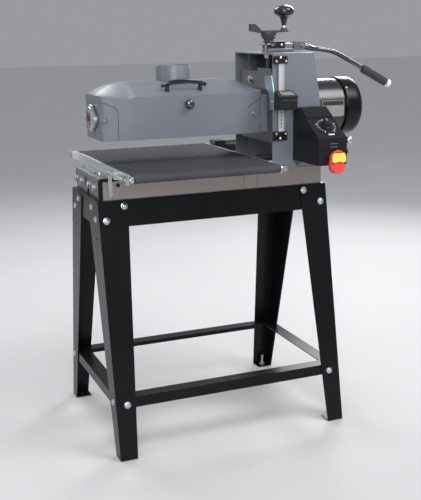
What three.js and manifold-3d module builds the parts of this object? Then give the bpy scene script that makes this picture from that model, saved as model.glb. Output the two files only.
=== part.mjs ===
// Open-end drum sander on an open stand, in millimetres, +Z up.
// X runs along the drum, from the free (outboard) end to the motor; work is fed towards +Y.
// Everything is drawn about the stand's centre, and the finished group is then moved so that
// its origin is the middle of the floor area that the whole machine covers.
import * as THREE from "three";
import { ConvexGeometry } from "three/addons/geometries/ConvexGeometry.js";
import { mergeVertices } from "three/addons/utils/BufferGeometryUtils.js";
import Module from "manifold-3d";

const wasm = await Module();
wasm.setup();

// ---------- driving dimensions ----------
const GAP = 0.3;                 // clearance between pieces that touch
const SHEET = 3;                 // stand and bracket sheet thickness

const STAND_TOP = 741;           // underside of the base rests here
const STAND_HALF_X = 368;        // outer face of the side flanges
const STAND_HALF_Y_TOP = 145;    // outer face of the legs at the top
const STAND_HALF_Y_FLOOR = 281;  // and on the floor
const RAIL_HEIGHT = 76;
const LOWER_RAIL_Z = [148, 178];
const RAIL_LIP = 40;

const BASE_X = [-354, 356];
const BASE_HALF_Y = 138;
const BASE_TOP = 795;

const BELT_X = [-303, 137];
const BELT_TOP = 832;
const BELT_THICKNESS = 1.5;
const BELT_HALF_Y = 300;
const ROLLER_RADIUS = 9.5;
const ROLLER_Z = BELT_TOP - BELT_THICKNESS - ROLLER_RADIUS;
const ROLLER_Y = BELT_HALF_Y - BELT_THICKNESS - ROLLER_RADIUS;
const ROLLER_AXLE = 6;

const DRUM_RADIUS = 63.5;
const DRUM_X = [-283, 123];
const DRUM_Z = 965;
const SHAFT_RADIUS = 11;
const SHAFT_BORE = SHAFT_RADIUS + GAP;

const HEAD_X = [-331, 177];      // outer faces of the dust cover's ends
const HEAD_HALF_Y = 100;
const HEAD_END_HALF_Y = 85;
const HEAD_BOTTOM = 904;
const HEAD_EDGE_Z = 1027;        // front and rear top edges
const HEAD_END_Z = 1032;         // where the roof meets the ends
const HEAD_CREST_Z = 1066;
const CREST_Y = [-10, 45];
const KINK_X = [-248, 97];       // the front panel is flat between these
const COVER_SHEET = 2.5;
const HINGE_Y = 106;
const HINGE_Z = 914;

const PORT_X = -72;
const PORT_Y = 15;
const PORT_RADIUS = 52.5;        // for a 100 mm (4 in) hose
const PORT_TOP = 1110;

const COLUMN_X = [188, 356];
const COLUMN_TOP = 1141;
const COLUMN_TOP_X = 326;
const COLUMN_HALF_Y = 138;
const SCREW_X = 241;
const SCREW_RADIUS = 8;
const WAY_HALF_X = 12;           // half the width of the ways that guide the head
const HUB_Z = 1175;              // the screw ends here and the crank's hub begins
const BOSS_TOP = 1215;           // end of the crank arm, under its knob
const KNOB_X = 294;
const LOCK_END = 318;            // the lock block ends here and the lever's clevis begins

const MOTOR_RADIUS = 89;
const MOTOR_X = [308.3, 475];
const FAN_COVER_RADIUS = 93;
const FAN_COVER_X = [475.3, 540];

const BOX_X = [257, 350];
const BOX_FRONT = -301;
const BOX_BOTTOM = 821;
const SLOPE_TOP = { y: -172, z: 980 };
const SLOPE_FOOT = { y: BOX_FRONT, z: 900 };

// ---------- colours and finishes ----------
const FINISH = {
  grey: { color: 0x6d7480, roughness: 0.45, metalness: 0.1 },
  black: { color: 0x0c0d10, roughness: 0.35, metalness: 0.1 },
  steel: { color: 0x9a938c, roughness: 0.3, metalness: 1 },
  zinc: { color: 0xb9c3c8, roughness: 0.35, metalness: 1 },
  bronze: { color: 0xb07a45, roughness: 0.35, metalness: 1 },
  aluminium: { color: 0xc4c8cc, roughness: 0.35, metalness: 1 },
  iron: { color: 0x7c7f83, roughness: 0.5, metalness: 0.6 },
  belt: { color: 0x2b2c30, roughness: 0.95, metalness: 0 },
  plastic: { color: 0x111216, roughness: 0.4, metalness: 0 },
  abrasive: { color: 0x6b4a3a, roughness: 1, metalness: 0 },
  red: { color: 0xd8261c, roughness: 0.4, metalness: 0 },
  yellow: { color: 0xf4d21c, roughness: 0.4, metalness: 0 },
  white: { color: 0xe9ebee, roughness: 0.4, metalness: 0 },
  rubber: { color: 0x17181a, roughness: 0.9, metalness: 0 },
};

// ---------- geometry helpers ----------
const machine = new THREE.Group();

function addPiece(name, geometry, finish) {
  const mesh = new THREE.Mesh(geometry, new THREE.MeshStandardMaterial(FINISH[finish]));
  mesh.name = name;
  machine.add(mesh);
  return mesh;
}

// position-only geometry with shared vertices and no zero-area triangles
function welded(geometry) {
  const bare = geometry.clone();
  bare.deleteAttribute("normal");
  bare.deleteAttribute("uv");
  const merged = mergeVertices(bare, 1e-4);
  const index = merged.index.array;
  const kept = [];
  for (let i = 0; i < index.length; i += 3) {
    const [a, b, c] = [index[i], index[i + 1], index[i + 2]];
    if (a !== b && b !== c && c !== a) kept.push(a, b, c);
  }
  merged.setIndex(kept);
  return merged;
}

function signedVolume(geometry) {
  const p = geometry.attributes.position;
  const index = geometry.index.array;
  const [a, b, c] = [new THREE.Vector3(), new THREE.Vector3(), new THREE.Vector3()];
  let volume = 0;
  for (let i = 0; i < index.length; i += 3) {
    a.fromBufferAttribute(p, index[i]);
    b.fromBufferAttribute(p, index[i + 1]);
    c.fromBufferAttribute(p, index[i + 2]);
    volume += a.dot(b.cross(c));
  }
  return volume;
}

// a welded geometry whose triangles all face outwards
function closed(geometry) {
  const merged = welded(geometry);
  if (signedVolume(merged) < 0) merged.index.array.reverse();
  return merged;
}

function toSolid(geometry) {
  const merged = closed(geometry);
  return new wasm.Manifold(new wasm.Mesh({
    numProp: 3,
    vertProperties: new Float32Array(merged.attributes.position.array),
    triVerts: new Uint32Array(merged.index.array),
  }));
}

function fromSolid(solid) {
  const mesh = solid.getMesh();
  const geometry = new THREE.BufferGeometry();
  geometry.setAttribute("position", new THREE.BufferAttribute(mesh.vertProperties, 3));
  geometry.setIndex(new THREE.BufferAttribute(mesh.triVerts, 1));
  return geometry;
}

function join(...geometries) {
  return fromSolid(geometries.map(toSolid).reduce((all, next) => all.add(next)));
}

function cut(geometry, ...tools) {
  const whole = toSolid(geometry);
  return fromSolid(tools.map(toSolid).reduce((rest, tool) => rest.subtract(tool), whole));
}

function common(geometry, other) {
  return fromSolid(toSolid(geometry).intersect(toSolid(other)));
}

function block([x0, x1], [y0, y1], [z0, z1]) {
  const geometry = new THREE.BoxGeometry(x1 - x0, y1 - y0, z1 - z0);
  return geometry.translate((x0 + x1) / 2, (y0 + y1) / 2, (z0 + z1) / 2);
}

function frameOf(...columns) {
  return new THREE.Matrix4().makeBasis(...columns.map((column) => new THREE.Vector3(...column)));
}

// Outlines and profiles are drawn in a plane and stand up along its normal. These frames lay
// that plane across each axis. The one for Y is turned to keep its hands right, so it runs to -Y.
const AXIS_FRAME = {
  x: frameOf([0, 1, 0], [0, 0, 1], [1, 0, 0]),
  y: frameOf([1, 0, 0], [0, 0, 1], [0, -1, 0]),
  z: frameOf([1, 0, 0], [0, 1, 0], [0, 0, 1]),
};

// a flat outline in the two axes other than `axis`, made as thick as the span along it
function plate(axis, outline, [from, to]) {
  const shape = outline instanceof THREE.Shape
    ? outline : new THREE.Shape(outline.map(([a, b]) => new THREE.Vector2(a, b)));
  const geometry = new THREE.ExtrudeGeometry(shape, {
    depth: to - from, bevelEnabled: false, curveSegments: 10 });
  geometry.translate(0, 0, axis === "y" ? -to : from);
  return geometry.applyMatrix4(AXIS_FRAME[axis]);
}

// [distance along the axis, radius] pairs turned about an axis through (a, b)
function turned(axis, profile, [a, b], sides = 24) {
  const points = profile.map(([along, radius]) => new THREE.Vector2(radius, along));
  const geometry = new THREE.LatheGeometry(points, sides);
  geometry.rotateX(Math.PI / 2);
  if (axis === "y") geometry.scale(1, 1, -1);
  geometry.applyMatrix4(AXIS_FRAME[axis]);
  const [x, y, z] = { x: [0, a, b], y: [a, 0, b], z: [a, b, 0] }[axis];
  return closed(geometry.translate(x, y, z));
}

function rod(axis, radius, [from, to], centre, sides = 16) {
  return turned(axis, [[from, 0], [from, radius], [to, radius], [to, 0]], centre, sides);
}

function ring(axis, outer, inner, [from, to], centre, sides = 24) {
  const profile = [[from, inner], [from, outer], [to, outer], [to, inner], [from, inner]];
  return turned(axis, profile, centre, sides);
}

function sweep(points, section, steps) {
  const path = new THREE.CatmullRomCurve3(points.map((p) => new THREE.Vector3(...p)));
  return new THREE.ExtrudeGeometry(section, {
    steps, extrudePath: path, bevelEnabled: false, curveSegments: 6 });
}

function disc(radius) {
  return new THREE.Shape().absarc(0, 0, radius, 0, Math.PI * 2);
}

function mirrored(geometry, x, y) {
  return geometry.clone().scale(x, y, 1);
}

// the same span at the other end of its axis, still low to high
function flipped([from, to]) {
  return [-to, -from];
}

// ---------- stand ----------
const SPLAY = (STAND_HALF_Y_FLOOR - STAND_HALF_Y_TOP) / STAND_TOP;

// how far out the legs' faces are at a height
function legY(z) {
  return STAND_HALF_Y_TOP + (STAND_TOP - z) * SPLAY;
}

// a front plate, outlined in X and Z, leaning with the legs and lying `inset` behind their faces
function leaningPlate(outline, inset) {
  const upright = plate("y", outline, [0, SHEET]);
  const shear = new THREE.Matrix4().set(
    1, 0, 0, 0,
    0, 1, SPLAY, inset - legY(0),
    0, 0, 1, 0,
    0, 0, 0, 1);
  return upright.applyMatrix4(shear);
}

const SIDE_BOLTS = [[-76, 716], [-120, 687], [-226, 164]];

// the front left leg: two folded flanges, a foot tab and the heads of its side bolts
function leg() {
  const front = leaningPlate(
    [[-368, 0], [-368, STAND_TOP], [-277, STAND_TOP], [-316, 0]], 0);
  const side = plate("x", [
    [-legY(0), 0], [-235, 0], [-36, 728], [-111, STAND_TOP], [-STAND_HALF_Y_TOP, STAND_TOP],
  ], [-STAND_HALF_X, -STAND_HALF_X + SHEET]);
  const tab = block([-STAND_HALF_X, -317], [-legY(0), -235], [0, SHEET]);
  const boltHole = rod("z", 5.5, [-5, 10], [-342, -258], 12);
  const spareHole = rod("x", 5, [-380, -350], [-121, 629], 12);
  const boltHeads = SIDE_BOLTS.map((at) => turned("x", [
    [-STAND_HALF_X - 5.5, 0], [-STAND_HALF_X - 3, 6], [-STAND_HALF_X + 1, 6], [-STAND_HALF_X + 1, 0],
  ], at, 12));
  return join(cut(join(front, side, tab), boltHole, spareHole), ...boltHeads);
}

function addStand() {
  const frontLeft = leg();
  for (const [end, y] of [["front", 1], ["rear", -1]]) {
    for (const [side, x] of [["left", 1], ["right", -1]]) {
      addPiece(`leg_${end}_${side}`, closed(mirrored(frontLeft, x, y)), "black");
    }
  }
  const inside = STAND_HALF_X - SHEET - GAP;
  const endLip = inside - SHEET - RAIL_LIP;
  const spans = { upper: [STAND_TOP - RAIL_HEIGHT, STAND_TOP], lower: LOWER_RAIL_Z };
  for (const [level, [low, high]] of Object.entries(spans)) {
    const web = leaningPlate(
      [[-inside, low], [inside, low], [inside, high], [-inside, high]], SHEET + GAP);
    const lipFrom = -legY(high) + SHEET + GAP + 1;
    const lip = block([-endLip, endLip], [lipFrom, lipFrom + RAIL_LIP], [high - SHEET, high]);
    const front = join(web, lip);
    addPiece(`${level}_rail_front`, front, "black");
    addPiece(`${level}_rail_rear`, closed(mirrored(front, 1, -1)), "black");

    const margin = 2 * SHEET + 2 * GAP;
    const sideWeb = plate("x", [
      [-legY(low) + margin, low], [legY(low) - margin, low],
      [legY(high) - margin, high], [-legY(high) + margin, high],
    ], [-inside, -inside + SHEET]);
    const reach = legY(high) - margin - GAP;
    const sideLip = block(
      [-inside + 1, -inside + SHEET + RAIL_LIP - GAP], [-reach, reach], [high - SHEET, high]);
    const left = join(sideWeb, sideLip);
    addPiece(`${level}_rail_left`, left, "black");
    addPiece(`${level}_rail_right`, closed(mirrored(left, -1, 1)), "black");
  }
}

// ---------- base and table brackets ----------
const SLOT_Y = [-9, 15];
const JACK = [-340, 3];
const BRACKET_TOP = 806;         // the conveyor's feet stand on both brackets

function addBase() {
  const floor = STAND_TOP + GAP;
  const outside = block(BASE_X, [-BASE_HALF_Y, BASE_HALF_Y], [floor, BASE_TOP]);
  const wall = 4;
  const hollow = block(
    [BASE_X[0] + wall, BASE_X[1] - wall], [-BASE_HALF_Y + wall, BASE_HALF_Y - wall],
    [floor - 5, BASE_TOP - 5]);
  const inboardBracket = block([146, 186], [-100, 100], [BASE_TOP - 1, BRACKET_TOP]);
  const slot = block([-360, -349], SLOT_Y, [floor - 5, 788]);
  const jackHole = rod("z", 6.5, [780, 800], JACK, 16);
  const wiringHole = rod("y", 6, [-145, -130], [-303, 784], 12);
  const pan = join(cut(outside, hollow), inboardBracket);
  addPiece("base", cut(pan, slot, jackHole, wiringHole), "steel");

  const plateX = [-361, -357];
  const bracketY = [-130, 118];
  const face = block(plateX, bracketY, [763, BRACKET_TOP]);
  const flange = block([-361, -306], bracketY, [BRACKET_TOP - SHEET, BRACKET_TOP]);
  const openSlot = block([-365, -350], SLOT_Y, [755, 794]);
  addPiece("outboard_table_bracket", cut(join(face, flange), openSlot), "iron");

  const thread = rod("z", 5, [752, BRACKET_TOP - SHEET - GAP], JACK);
  const collar = rod("z", 9, [BASE_TOP + GAP, 800], JACK, 6);
  addPiece("table_jack_screw", join(thread, collar), "zinc");
}

// ---------- conveyor ----------
const BED_PLATE_X = [-318, 144];
const TAKEUP_LUG_Y = [-200, -188];
const TAKEUP_SCREW_X = [-325.3, 151.3];
// the sliding blocks that the front roller turns in
const TAKEUP_BLOCKS = {
  left: { x: [-330, -318 - GAP], y: [-299, -273], z: [809, 831] },
  right: { x: [144 + GAP, 156], y: [-297, -281], z: [813, 829] },
};

// the table under the belt and its two side plates, with a bearing lug, a lug for the take-up
// screw and a foot on each
function conveyorBed() {
  const [left, right] = BED_PLATE_X;
  const underBelt = BELT_TOP - BELT_THICKNESS - 0.8;
  const footBottom = BRACKET_TOP + GAP;
  const parts = [block([left + 1, right - 1], [-262, 262], [underBelt - 3.5, underBelt])];
  const sides = [
    { plateX: [left, left + SHEET], top: 833, footX: [left, left + 12], lugX: [left - 13, left + 1] },
    {
      plateX: [right - SHEET, right], top: 831,
      footX: [right - 1, right + 16], lugX: [right - 1, right + 13],
    },
  ];
  for (const { plateX, top, footX, lugX } of sides) {
    parts.push(
      block(plateX, [-288, 300], [footBottom, top]),
      block(footX, [-115, 110], [footBottom, BRACKET_TOP + SHEET]),
      block(lugX, [275, 299], [808, 831]),
      block(lugX, TAKEUP_LUG_Y, [810, 831]));
  }
  const axleBore = rod("x", ROLLER_AXLE + 0.4, [-340, 170], [ROLLER_Y, ROLLER_Z]);
  const axleSlot = block(
    [-325, 150], [-305, -271], [ROLLER_Z - 6.8, ROLLER_Z + 6.8]);
  const screwBores = TAKEUP_SCREW_X.map((x) => rod("y", 4.4, [-210, -180], [x, ROLLER_Z]));
  return cut(join(...parts), axleBore, axleSlot, ...screwBores);
}

function conveyorBelt() {
  const run = (radius) => {
    const shape = new THREE.Shape();
    shape.absarc(ROLLER_Y, ROLLER_Z, radius, -Math.PI / 2, Math.PI / 2);
    shape.absarc(-ROLLER_Y, ROLLER_Z, radius, Math.PI / 2, Math.PI * 1.5);
    return plate("x", shape, BELT_X);
  };
  const inside = run(ROLLER_RADIUS).translate(-10, 0, 0);
  return cut(run(ROLLER_RADIUS + BELT_THICKNESS), inside, inside.clone().translate(20, 0, 0));
}

function addConveyor() {
  addPiece("conveyor_bed", conveyorBed(), "aluminium");
  addPiece("conveyor_belt", conveyorBelt(), "belt");
  const rollers = [["drive_roller", ROLLER_Y, 160], ["idler_roller", -ROLLER_Y, 157]];
  for (const [name, y, axleEnd] of rollers) {
    const at = [y, ROLLER_Z];
    const barrel = rod("x", ROLLER_RADIUS - GAP, [BELT_X[0] + 2, BELT_X[1] - 2], at, 24);
    addPiece(name, join(barrel, rod("x", ROLLER_AXLE, [-332, axleEnd], at)), "steel");
  }
  const nutsY = [[-210, -203], [-185, -178], [-126, -119]];
  Object.entries(TAKEUP_BLOCKS).forEach(([side, { x, y, z }], i) => {
    const body = block(x, y, z);
    const bore = rod("x", ROLLER_AXLE + GAP, [x[0] - 5, x[1] + 5], [-ROLLER_Y, ROLLER_Z]);
    addPiece(`takeup_block_${side}`, cut(body, bore), "zinc");
    const at = [TAKEUP_SCREW_X[i], ROLLER_Z];
    const thread = rod("y", 4, [y[1] + GAP, -120], at);
    const nuts = nutsY.map((nutY) => rod("y", 7.2, nutY, at, 6));
    addPiece(`takeup_screw_${side}`, join(thread, ...nuts), "zinc");
  });
  const gearbox = block([160.6, 200], [252, 299], [792, 842]);
  const can = rod("x", 23, [199, 292], [275, 817], 24);
  addPiece("feed_gearmotor", join(gearbox, can), "black");
}

// ---------- column, height screw and crank ----------
function addColumn() {
  const [left, right] = COLUMN_X;
  const low = BASE_TOP + GAP;
  const wall = 4;
  const [bendX, bendZ] = [352, 979];   // the motor side leans in above this
  const whole = plate("y", [
    [left, low], [right, low], [bendX, bendZ], [COLUMN_TOP_X, COLUMN_TOP], [left, COLUMN_TOP],
  ], [-COLUMN_HALF_Y, COLUMN_HALF_Y]);
  const cavity = plate("y", [
    [left - 10, low + 6], [right - wall, low + 6], [bendX - wall, bendZ],
    [COLUMN_TOP_X - wall - 0.5, COLUMN_TOP - wall], [left - 10, COLUMN_TOP - wall],
  ], [-COLUMN_HALF_Y + wall, COLUMN_HALF_Y - wall]);
  const motorWindow = block([310, 370], [-102, 102], [low + 6, 1072]);
  const floorOpening = block([left - 5, 330], [-100, 100], [low - 5, low + 10]);
  const screwHole = rod("z", SCREW_RADIUS + 0.6, [1130, 1150], [SCREW_X, 0]);
  const shell = cut(whole, cavity, motorWindow, floorOpening, screwHole);
  const wayY = [112, COLUMN_HALF_Y - wall + 1];
  const ways = [wayY, flipped(wayY)].map((y) => block(
    [SCREW_X - WAY_HALF_X, SCREW_X + WAY_HALF_X], y, [low + 1, 1135]));
  const front = -COLUMN_HALF_Y + 1;
  const gusset = plate("x", [
    [front, 797], [-179, 818], [-179, BOX_BOTTOM - GAP], [front, BOX_BOTTOM - GAP]], [268, 340]);
  addPiece("column", join(shell, ...ways, gusset), "grey");

  const collarZ = [1124, COLUMN_TOP - wall - GAP];
  const screw = turned("z", [
    [988, 0], [990, SCREW_RADIUS - 2], [992, SCREW_RADIUS], [collarZ[0], SCREW_RADIUS],
    [collarZ[0], 14], [collarZ[1], 14], [collarZ[1], SCREW_RADIUS], [HUB_Z, SCREW_RADIUS], [HUB_Z, 0],
  ], [SCREW_X, 0], 20);
  addPiece("height_screw", screw, "zinc");

  const foot = COLUMN_TOP + GAP;
  const collar = turned("z", [[foot, 0], [foot, 14], [1163, 14], [1163, 27], [1169, 27], [1169, 0]],
    [SCREW_X, 0], 24);
  const clamp = block([230, 288], [-22, 22], [1152, HUB_Z - 0.5]);
  const spacer = block([287, LOCK_END], [-16, 16], [1151, 1168]);
  const lockFoot = block([229, LOCK_END], [-22, 22], [foot, 1152.5]);
  const bore = rod("z", SCREW_RADIUS + 0.5, [1130, 1180], [SCREW_X, 0]);
  addPiece("lock_block", cut(join(collar, clamp, spacer, lockFoot), bore), "iron");

  const hub = turned("z", [
    [HUB_Z + GAP, 0], [HUB_Z + GAP, 15], [1182, 16], [1183, 20.5], [1197, 25], [1204, 25], [1205, 0],
  ], [SCREW_X, 0], 24);
  const arm = plate("y", [
    [178, 1227], [192, 1227], [214, 1207], [304, 1208], [306, 1203], [262, 1199.5], [213, 1199.5],
    [178, 1206],
  ], [-10, 10]);
  const boss = turned("z", [[1203, 0], [1203, 12], [BOSS_TOP, 9], [BOSS_TOP, 0]], [KNOB_X, 0], 20);
  addPiece("crank_handle", join(hub, arm, boss), "iron");

  const knobFoot = BOSS_TOP + GAP;
  const knob = turned("z", [
    [knobFoot, 0], [knobFoot, 6.5], [1224, 7], [1232, 8.5], [1240, 10.5], [1247, 14], [1252, 24],
    [1257, 30], [1264, 31.5], [1271, 30.5], [1278, 22], [1282, 10], [1283, 0],
  ], [KNOB_X, 0], 20);
  addPiece("crank_knob", knob, "plastic");
}

// ---------- head lock lever ----------
const PIVOT = [352, 1160];
const GRIP_START = [581, 0, 1083];
const GRIP_END = [672, 0, 1035];

function addLockLever() {
  const stem = rod("x", 9, [LOCK_END + GAP, 330], [0, PIVOT[1]]);
  const fork = plate("y", [
    [321, 1146], [352, 1146], [364, 1153], [361, 1170], [324, 1172]], [-16, 16]);
  const gapInFork = block([336, 380], [-7.6, 7.6], [1130, 1180]);
  const pin = rod("y", 4, [-16, 16], PIVOT);
  addPiece("lever_clevis", join(cut(join(stem, fork), gapInFork), pin), "iron");

  const eye = rod("y", 10.5, [-7, 7], PIVOT, 20);
  const bar = sweep([
    [356, 0, 1159.5], [376, 0, 1154], [395, 0, 1149.5], [440, 0, 1144], [475, 0, 1136],
    [492, 0, 1129], GRIP_START], disc(6.2), 18);
  addPiece("lock_lever", cut(join(eye, bar), rod("y", 4.4, [-20, 20], PIVOT)), "zinc");

  const start = new THREE.Vector3(...GRIP_START);
  const along = new THREE.Vector3(...GRIP_END).sub(start);
  const length = along.length();
  const turn = new THREE.Quaternion().setFromUnitVectors(
    new THREE.Vector3(0, 0, 1), along.clone().normalize());
  const onLever = (profile) =>
    turned("z", profile, [0, 0], 20).applyQuaternion(turn).translate(...GRIP_START);
  addPiece("lever_grip", onLever([
    [GAP, 0], [GAP, 11], [4, 13.5], [length, 13.5], [length, 0]]), "rubber");
  const [capFrom, capTo] = [length + GAP, length + 17];
  addPiece("lever_cap", onLever([
    [capFrom, 0], [capFrom, 13.2], [capTo - 3, 13.2], [capTo, 11], [capTo, 0]]), "white");
}

// ---------- depth gauge ----------
function addGauge() {
  const face = -COLUMN_HALF_Y - GAP;
  const strip = block([204, 223], [-146, -143], [890, 1125]);
  const top = block([187, 233], [-146, face], [1111, 1133]);
  const bottom = block([187, 233], [-146, face], [882, 910]);
  addPiece("depth_scale", join(strip, top, bottom), "white");

  const readout = plate("x", [
    [-147, 977], [-190, 977], [-190, 1017], [-153, 1032], [-147, 1032],
  ], [185 + GAP, 247]);
  addPiece("depth_readout", readout, "plastic");

  const wing = plate("x", [
    [-92, 1073], [-139, 1077], [-156, 1029], [-152, 976], [-127, 974], [-127, 1019], [-101, 1040],
  ], [182, 185]);
  const tongue = block([182, 199.7], [-106, -102], [1040, 1074]);
  addPiece("readout_bracket", join(wing, tongue), "zinc");
}

// ---------- head: cover, frame, carriage ----------
const ROOF_BEND_X = [-241, 91];
const ROOF_BOW = 0.8;            // 1 would bring the bow down upright at the ends

// how far past a bend x lies, as a share of the way to that end
function pastBend(x) {
  const [left, right] = ROOF_BEND_X;
  return Math.max(0, (left - x) / (left - HEAD_X[0]), (x - right) / (HEAD_X[1] - right));
}

// 0 along the level middle of the roof, 1 where it has come down to the ends
function roofShare(x) {
  const drop = (over) => 1 - Math.sqrt(1 - ROOF_BOW * over * over);
  return drop(Math.min(1, pastBend(x))) / drop(1);
}

// how far the front panel has angled back at x
function halfWidth(x) {
  const past = Math.max(KINK_X[0] - x, x - KINK_X[1], 0);
  const run = KINK_X[0] - HEAD_X[0];
  return HEAD_HALF_Y - (past / run) * (HEAD_HALF_Y - HEAD_END_HALF_Y);
}

// the cover's outer form, drawn in by `inset` all round and reaching down to `bottom`
function headForm(inset, bottom) {
  const [left, right] = [HEAD_X[0] + inset, HEAD_X[1] - inset];
  const [bendLeft, bendRight] = ROOF_BEND_X;
  const round = 8;               // radius of the upright corners at the ends
  const stations = [left, left + 2, ...KINK_X, right - 2, right];
  for (let i = 0; i <= 8; i++) {
    stations.push(left + round + (bendLeft - left - round) * (i / 8));
    stations.push(bendRight + (right - round - bendRight) * (i / 8));
  }
  stations.sort((a, b) => a - b);
  const slices = stations.filter((x, i) => i === 0 || x - stations[i - 1] > 0.5);

  const corner = (x) => {
    const short = Math.max(0, round - Math.min(x - left, right - x));
    return round - Math.sqrt(round ** 2 - short ** 2);
  };
  const section = (x) => {
    const share = roofShare(x);
    const half = halfWidth(x) - inset - corner(x);
    const edge = HEAD_EDGE_Z + (HEAD_END_Z - HEAD_EDGE_Z) * share - inset;
    const crest = HEAD_CREST_Z + (HEAD_END_Z - HEAD_CREST_Z) * share - inset;
    const front = CREST_Y[0] + (-half + 12 - CREST_Y[0]) * share * 0.5;
    return [[-half, edge], [front, crest], [CREST_Y[1], crest], [half, edge]];
  };
  // a box whose grid points are moved on to the sections
  const rows = slices.length - 1;
  const columns = 3;
  const form = new THREE.BoxGeometry(rows, columns, 1, rows, columns, 1);
  const p = form.attributes.position;
  for (let i = 0; i < p.count; i++) {
    const x = slices[Math.round(p.getX(i) + rows / 2)];
    const [y, top] = section(x)[Math.round(p.getY(i) + columns / 2)];
    p.setXYZ(i, x, y, p.getZ(i) > 0 ? top : bottom);
  }
  return form;
}

function headShell(inset, thickness) {
  return cut(headForm(inset, HEAD_BOTTOM), headForm(inset + thickness, HEAD_BOTTOM - 10));
}

// the parts of the cover's walls that the frame's end plates stand in for
function endWindows(margin) {
  const left = plate("y", [
    [-400, 880], [-281.5 + margin, 880], [-281.5 + margin, 987], [-288 + margin, 999 + margin],
    [-328.4 - margin, 1016.2 + margin], [-328.4 - margin, 1010 + margin], [-400, 1010 + margin],
  ], [-150, 150]);
  const right = plate("y", [
    [250, 880], [128 - margin, 880], [128 - margin, 980], [136 - margin, 990 + margin],
    [179, 1010 + margin], [250, 1010 + margin],
  ], [-150, 150]);
  return [left, right];
}

const HINGE_KNUCKLES = [[-228, -212], [-20, 0], [50, 66]];
const HINGE_PIN_RADIUS = 3;
const BEAM_Y = [78, 86];
const CARRIAGE_X = [200, 308];
const BRIDGE_TOP = 1082;
const NUT_RADIUS = 15;
const LATCH = [-67, 1001];

function addCover() {
  const shell = cut(headShell(0, COVER_SHEET), ...endWindows(0));
  const hinge = [HINGE_Y, HINGE_Z];
  const bore = HINGE_PIN_RADIUS + 0.4;
  const knuckles = HINGE_KNUCKLES.map(([, to]) => ring("x", 7.5, bore, [to + 1, to + 21], hinge, 16));
  const notches = HINGE_KNUCKLES.map(
    ([from, to]) => block([from - 1, to + 0.5], [90, 120], [895, 930]));
  const portHole = rod("z", PORT_RADIUS + GAP, [1000, 1080], [PORT_X, PORT_Y], 36);
  const knobHole = rod("y", 4.6, [-120, -80], LATCH);
  const pinBore = rod("x", bore, [-240, 90], hinge);
  const cover = cut(join(shell, ...knuckles), ...notches, portHole, knobHole, pinBore);
  addPiece("dust_cover", cover, "grey");

  const port = ring("z", PORT_RADIUS, PORT_RADIUS - 2, [1049, PORT_TOP], [PORT_X, PORT_Y], 36);
  addPiece("dust_port", port, "grey");

  const slope = Math.atan2(HEAD_CREST_Z - HEAD_EDGE_Z, CREST_Y[0] + HEAD_HALF_Y);
  const bow = sweep(
    [[-71, 0, 18], [-64, 0, 22], [-40, 0, 27], [0, 0, 29], [40, 0, 27], [64, 0, 22], [71, 0, 18]],
    new THREE.Shape().absellipse(0, 0, 3.2, 7, 0, Math.PI * 2), 14);
  const posts = [-52, 52].map((x) => rod("z", 6, [GAP, 25], [x, 0], 14));
  const handle = join(bow, ...posts);
  handle.rotateX(slope).translate(-72, -70, HEAD_EDGE_Z + 30 * Math.tan(slope));
  addPiece("cover_handle", handle, "plastic");

  const face = -HEAD_HALF_Y - GAP;
  const knob = turned("y", [
    [-66, 0], [-66, 4], [face, 4], [face, 12], [face - 4, 13.5], [face - 15, 13.5],
    [face - 18, 10], [face - 18, 0],
  ], LATCH, 20);
  addPiece("cover_latch_knob", knob, "plastic");
}

// two end plates, the beams that join them past the drum, the arm to the column, the hinge
function headFrame() {
  const inset = 1.2;
  const shell = headShell(inset, SHEET);
  const ends = endWindows(-1).map((window) => common(shell, window));
  const plateY = [-HEAD_END_HALF_Y + 8, HEAD_END_HALF_Y - 8];
  const bearingPlate = (x) => block([x, x + SHEET], plateY, [906, 1006]);
  const beams = [BEAM_Y, flipped(BEAM_Y)].map((y) => block([-329, 175], y, [930, 955]));
  const armX = CARRIAGE_X[0] - GAP;
  const arm = cut(
    join(block([174, armX], [-78, 78], [904, 1004]), block([177.6, armX], [-78, 78], [904, 1014])),
    block([180, 210], [-70, 70], [911, 1007]));
  const hingeArms = HINGE_KNUCKLES.flatMap(([from, to]) => [
    block([from, to], [84, 95.5], [930, 934]),
    block([from, to], [89, 95.5], [917, 934]),
    block([from, to], [89, HINGE_Y], [HINGE_Z - 3, HINGE_Z + 3]),
    rod("x", 6.5, [from, to], [HINGE_Y, HINGE_Z], 16),
  ]);
  const pin = rod("x", HINGE_PIN_RADIUS, [-228, 88], [HINGE_Y, HINGE_Z]);
  const shaftHoles = rod("x", 14, [-340, 230], [0, DRUM_Z], 20);
  const body = join(
    ...ends, bearingPlate(HEAD_X[0] + inset), bearingPlate(HEAD_X[1] - inset - SHEET),
    ...beams, arm, ...hingeArms, pin);
  return cut(body, shaftHoles);
}

// A plate behind the front beam, whose notch the latch knob's stem drops into. Its top edge leans
// back to let the cover's front swing past.
function latchCatch() {
  const [x, z] = LATCH;
  const front = -BEAM_Y[0] + GAP;
  const back = front + 4;
  const stands = plate("x", [
    [front, 936], [front, z - 5], [back - 1.3, z + 1], [back, z + 1], [back, 936],
  ], [x - 18, x + 18]);
  return cut(stands, block([x - 6, x + 6], [-90, -60], [z - 7, z + 10]));
}

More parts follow.
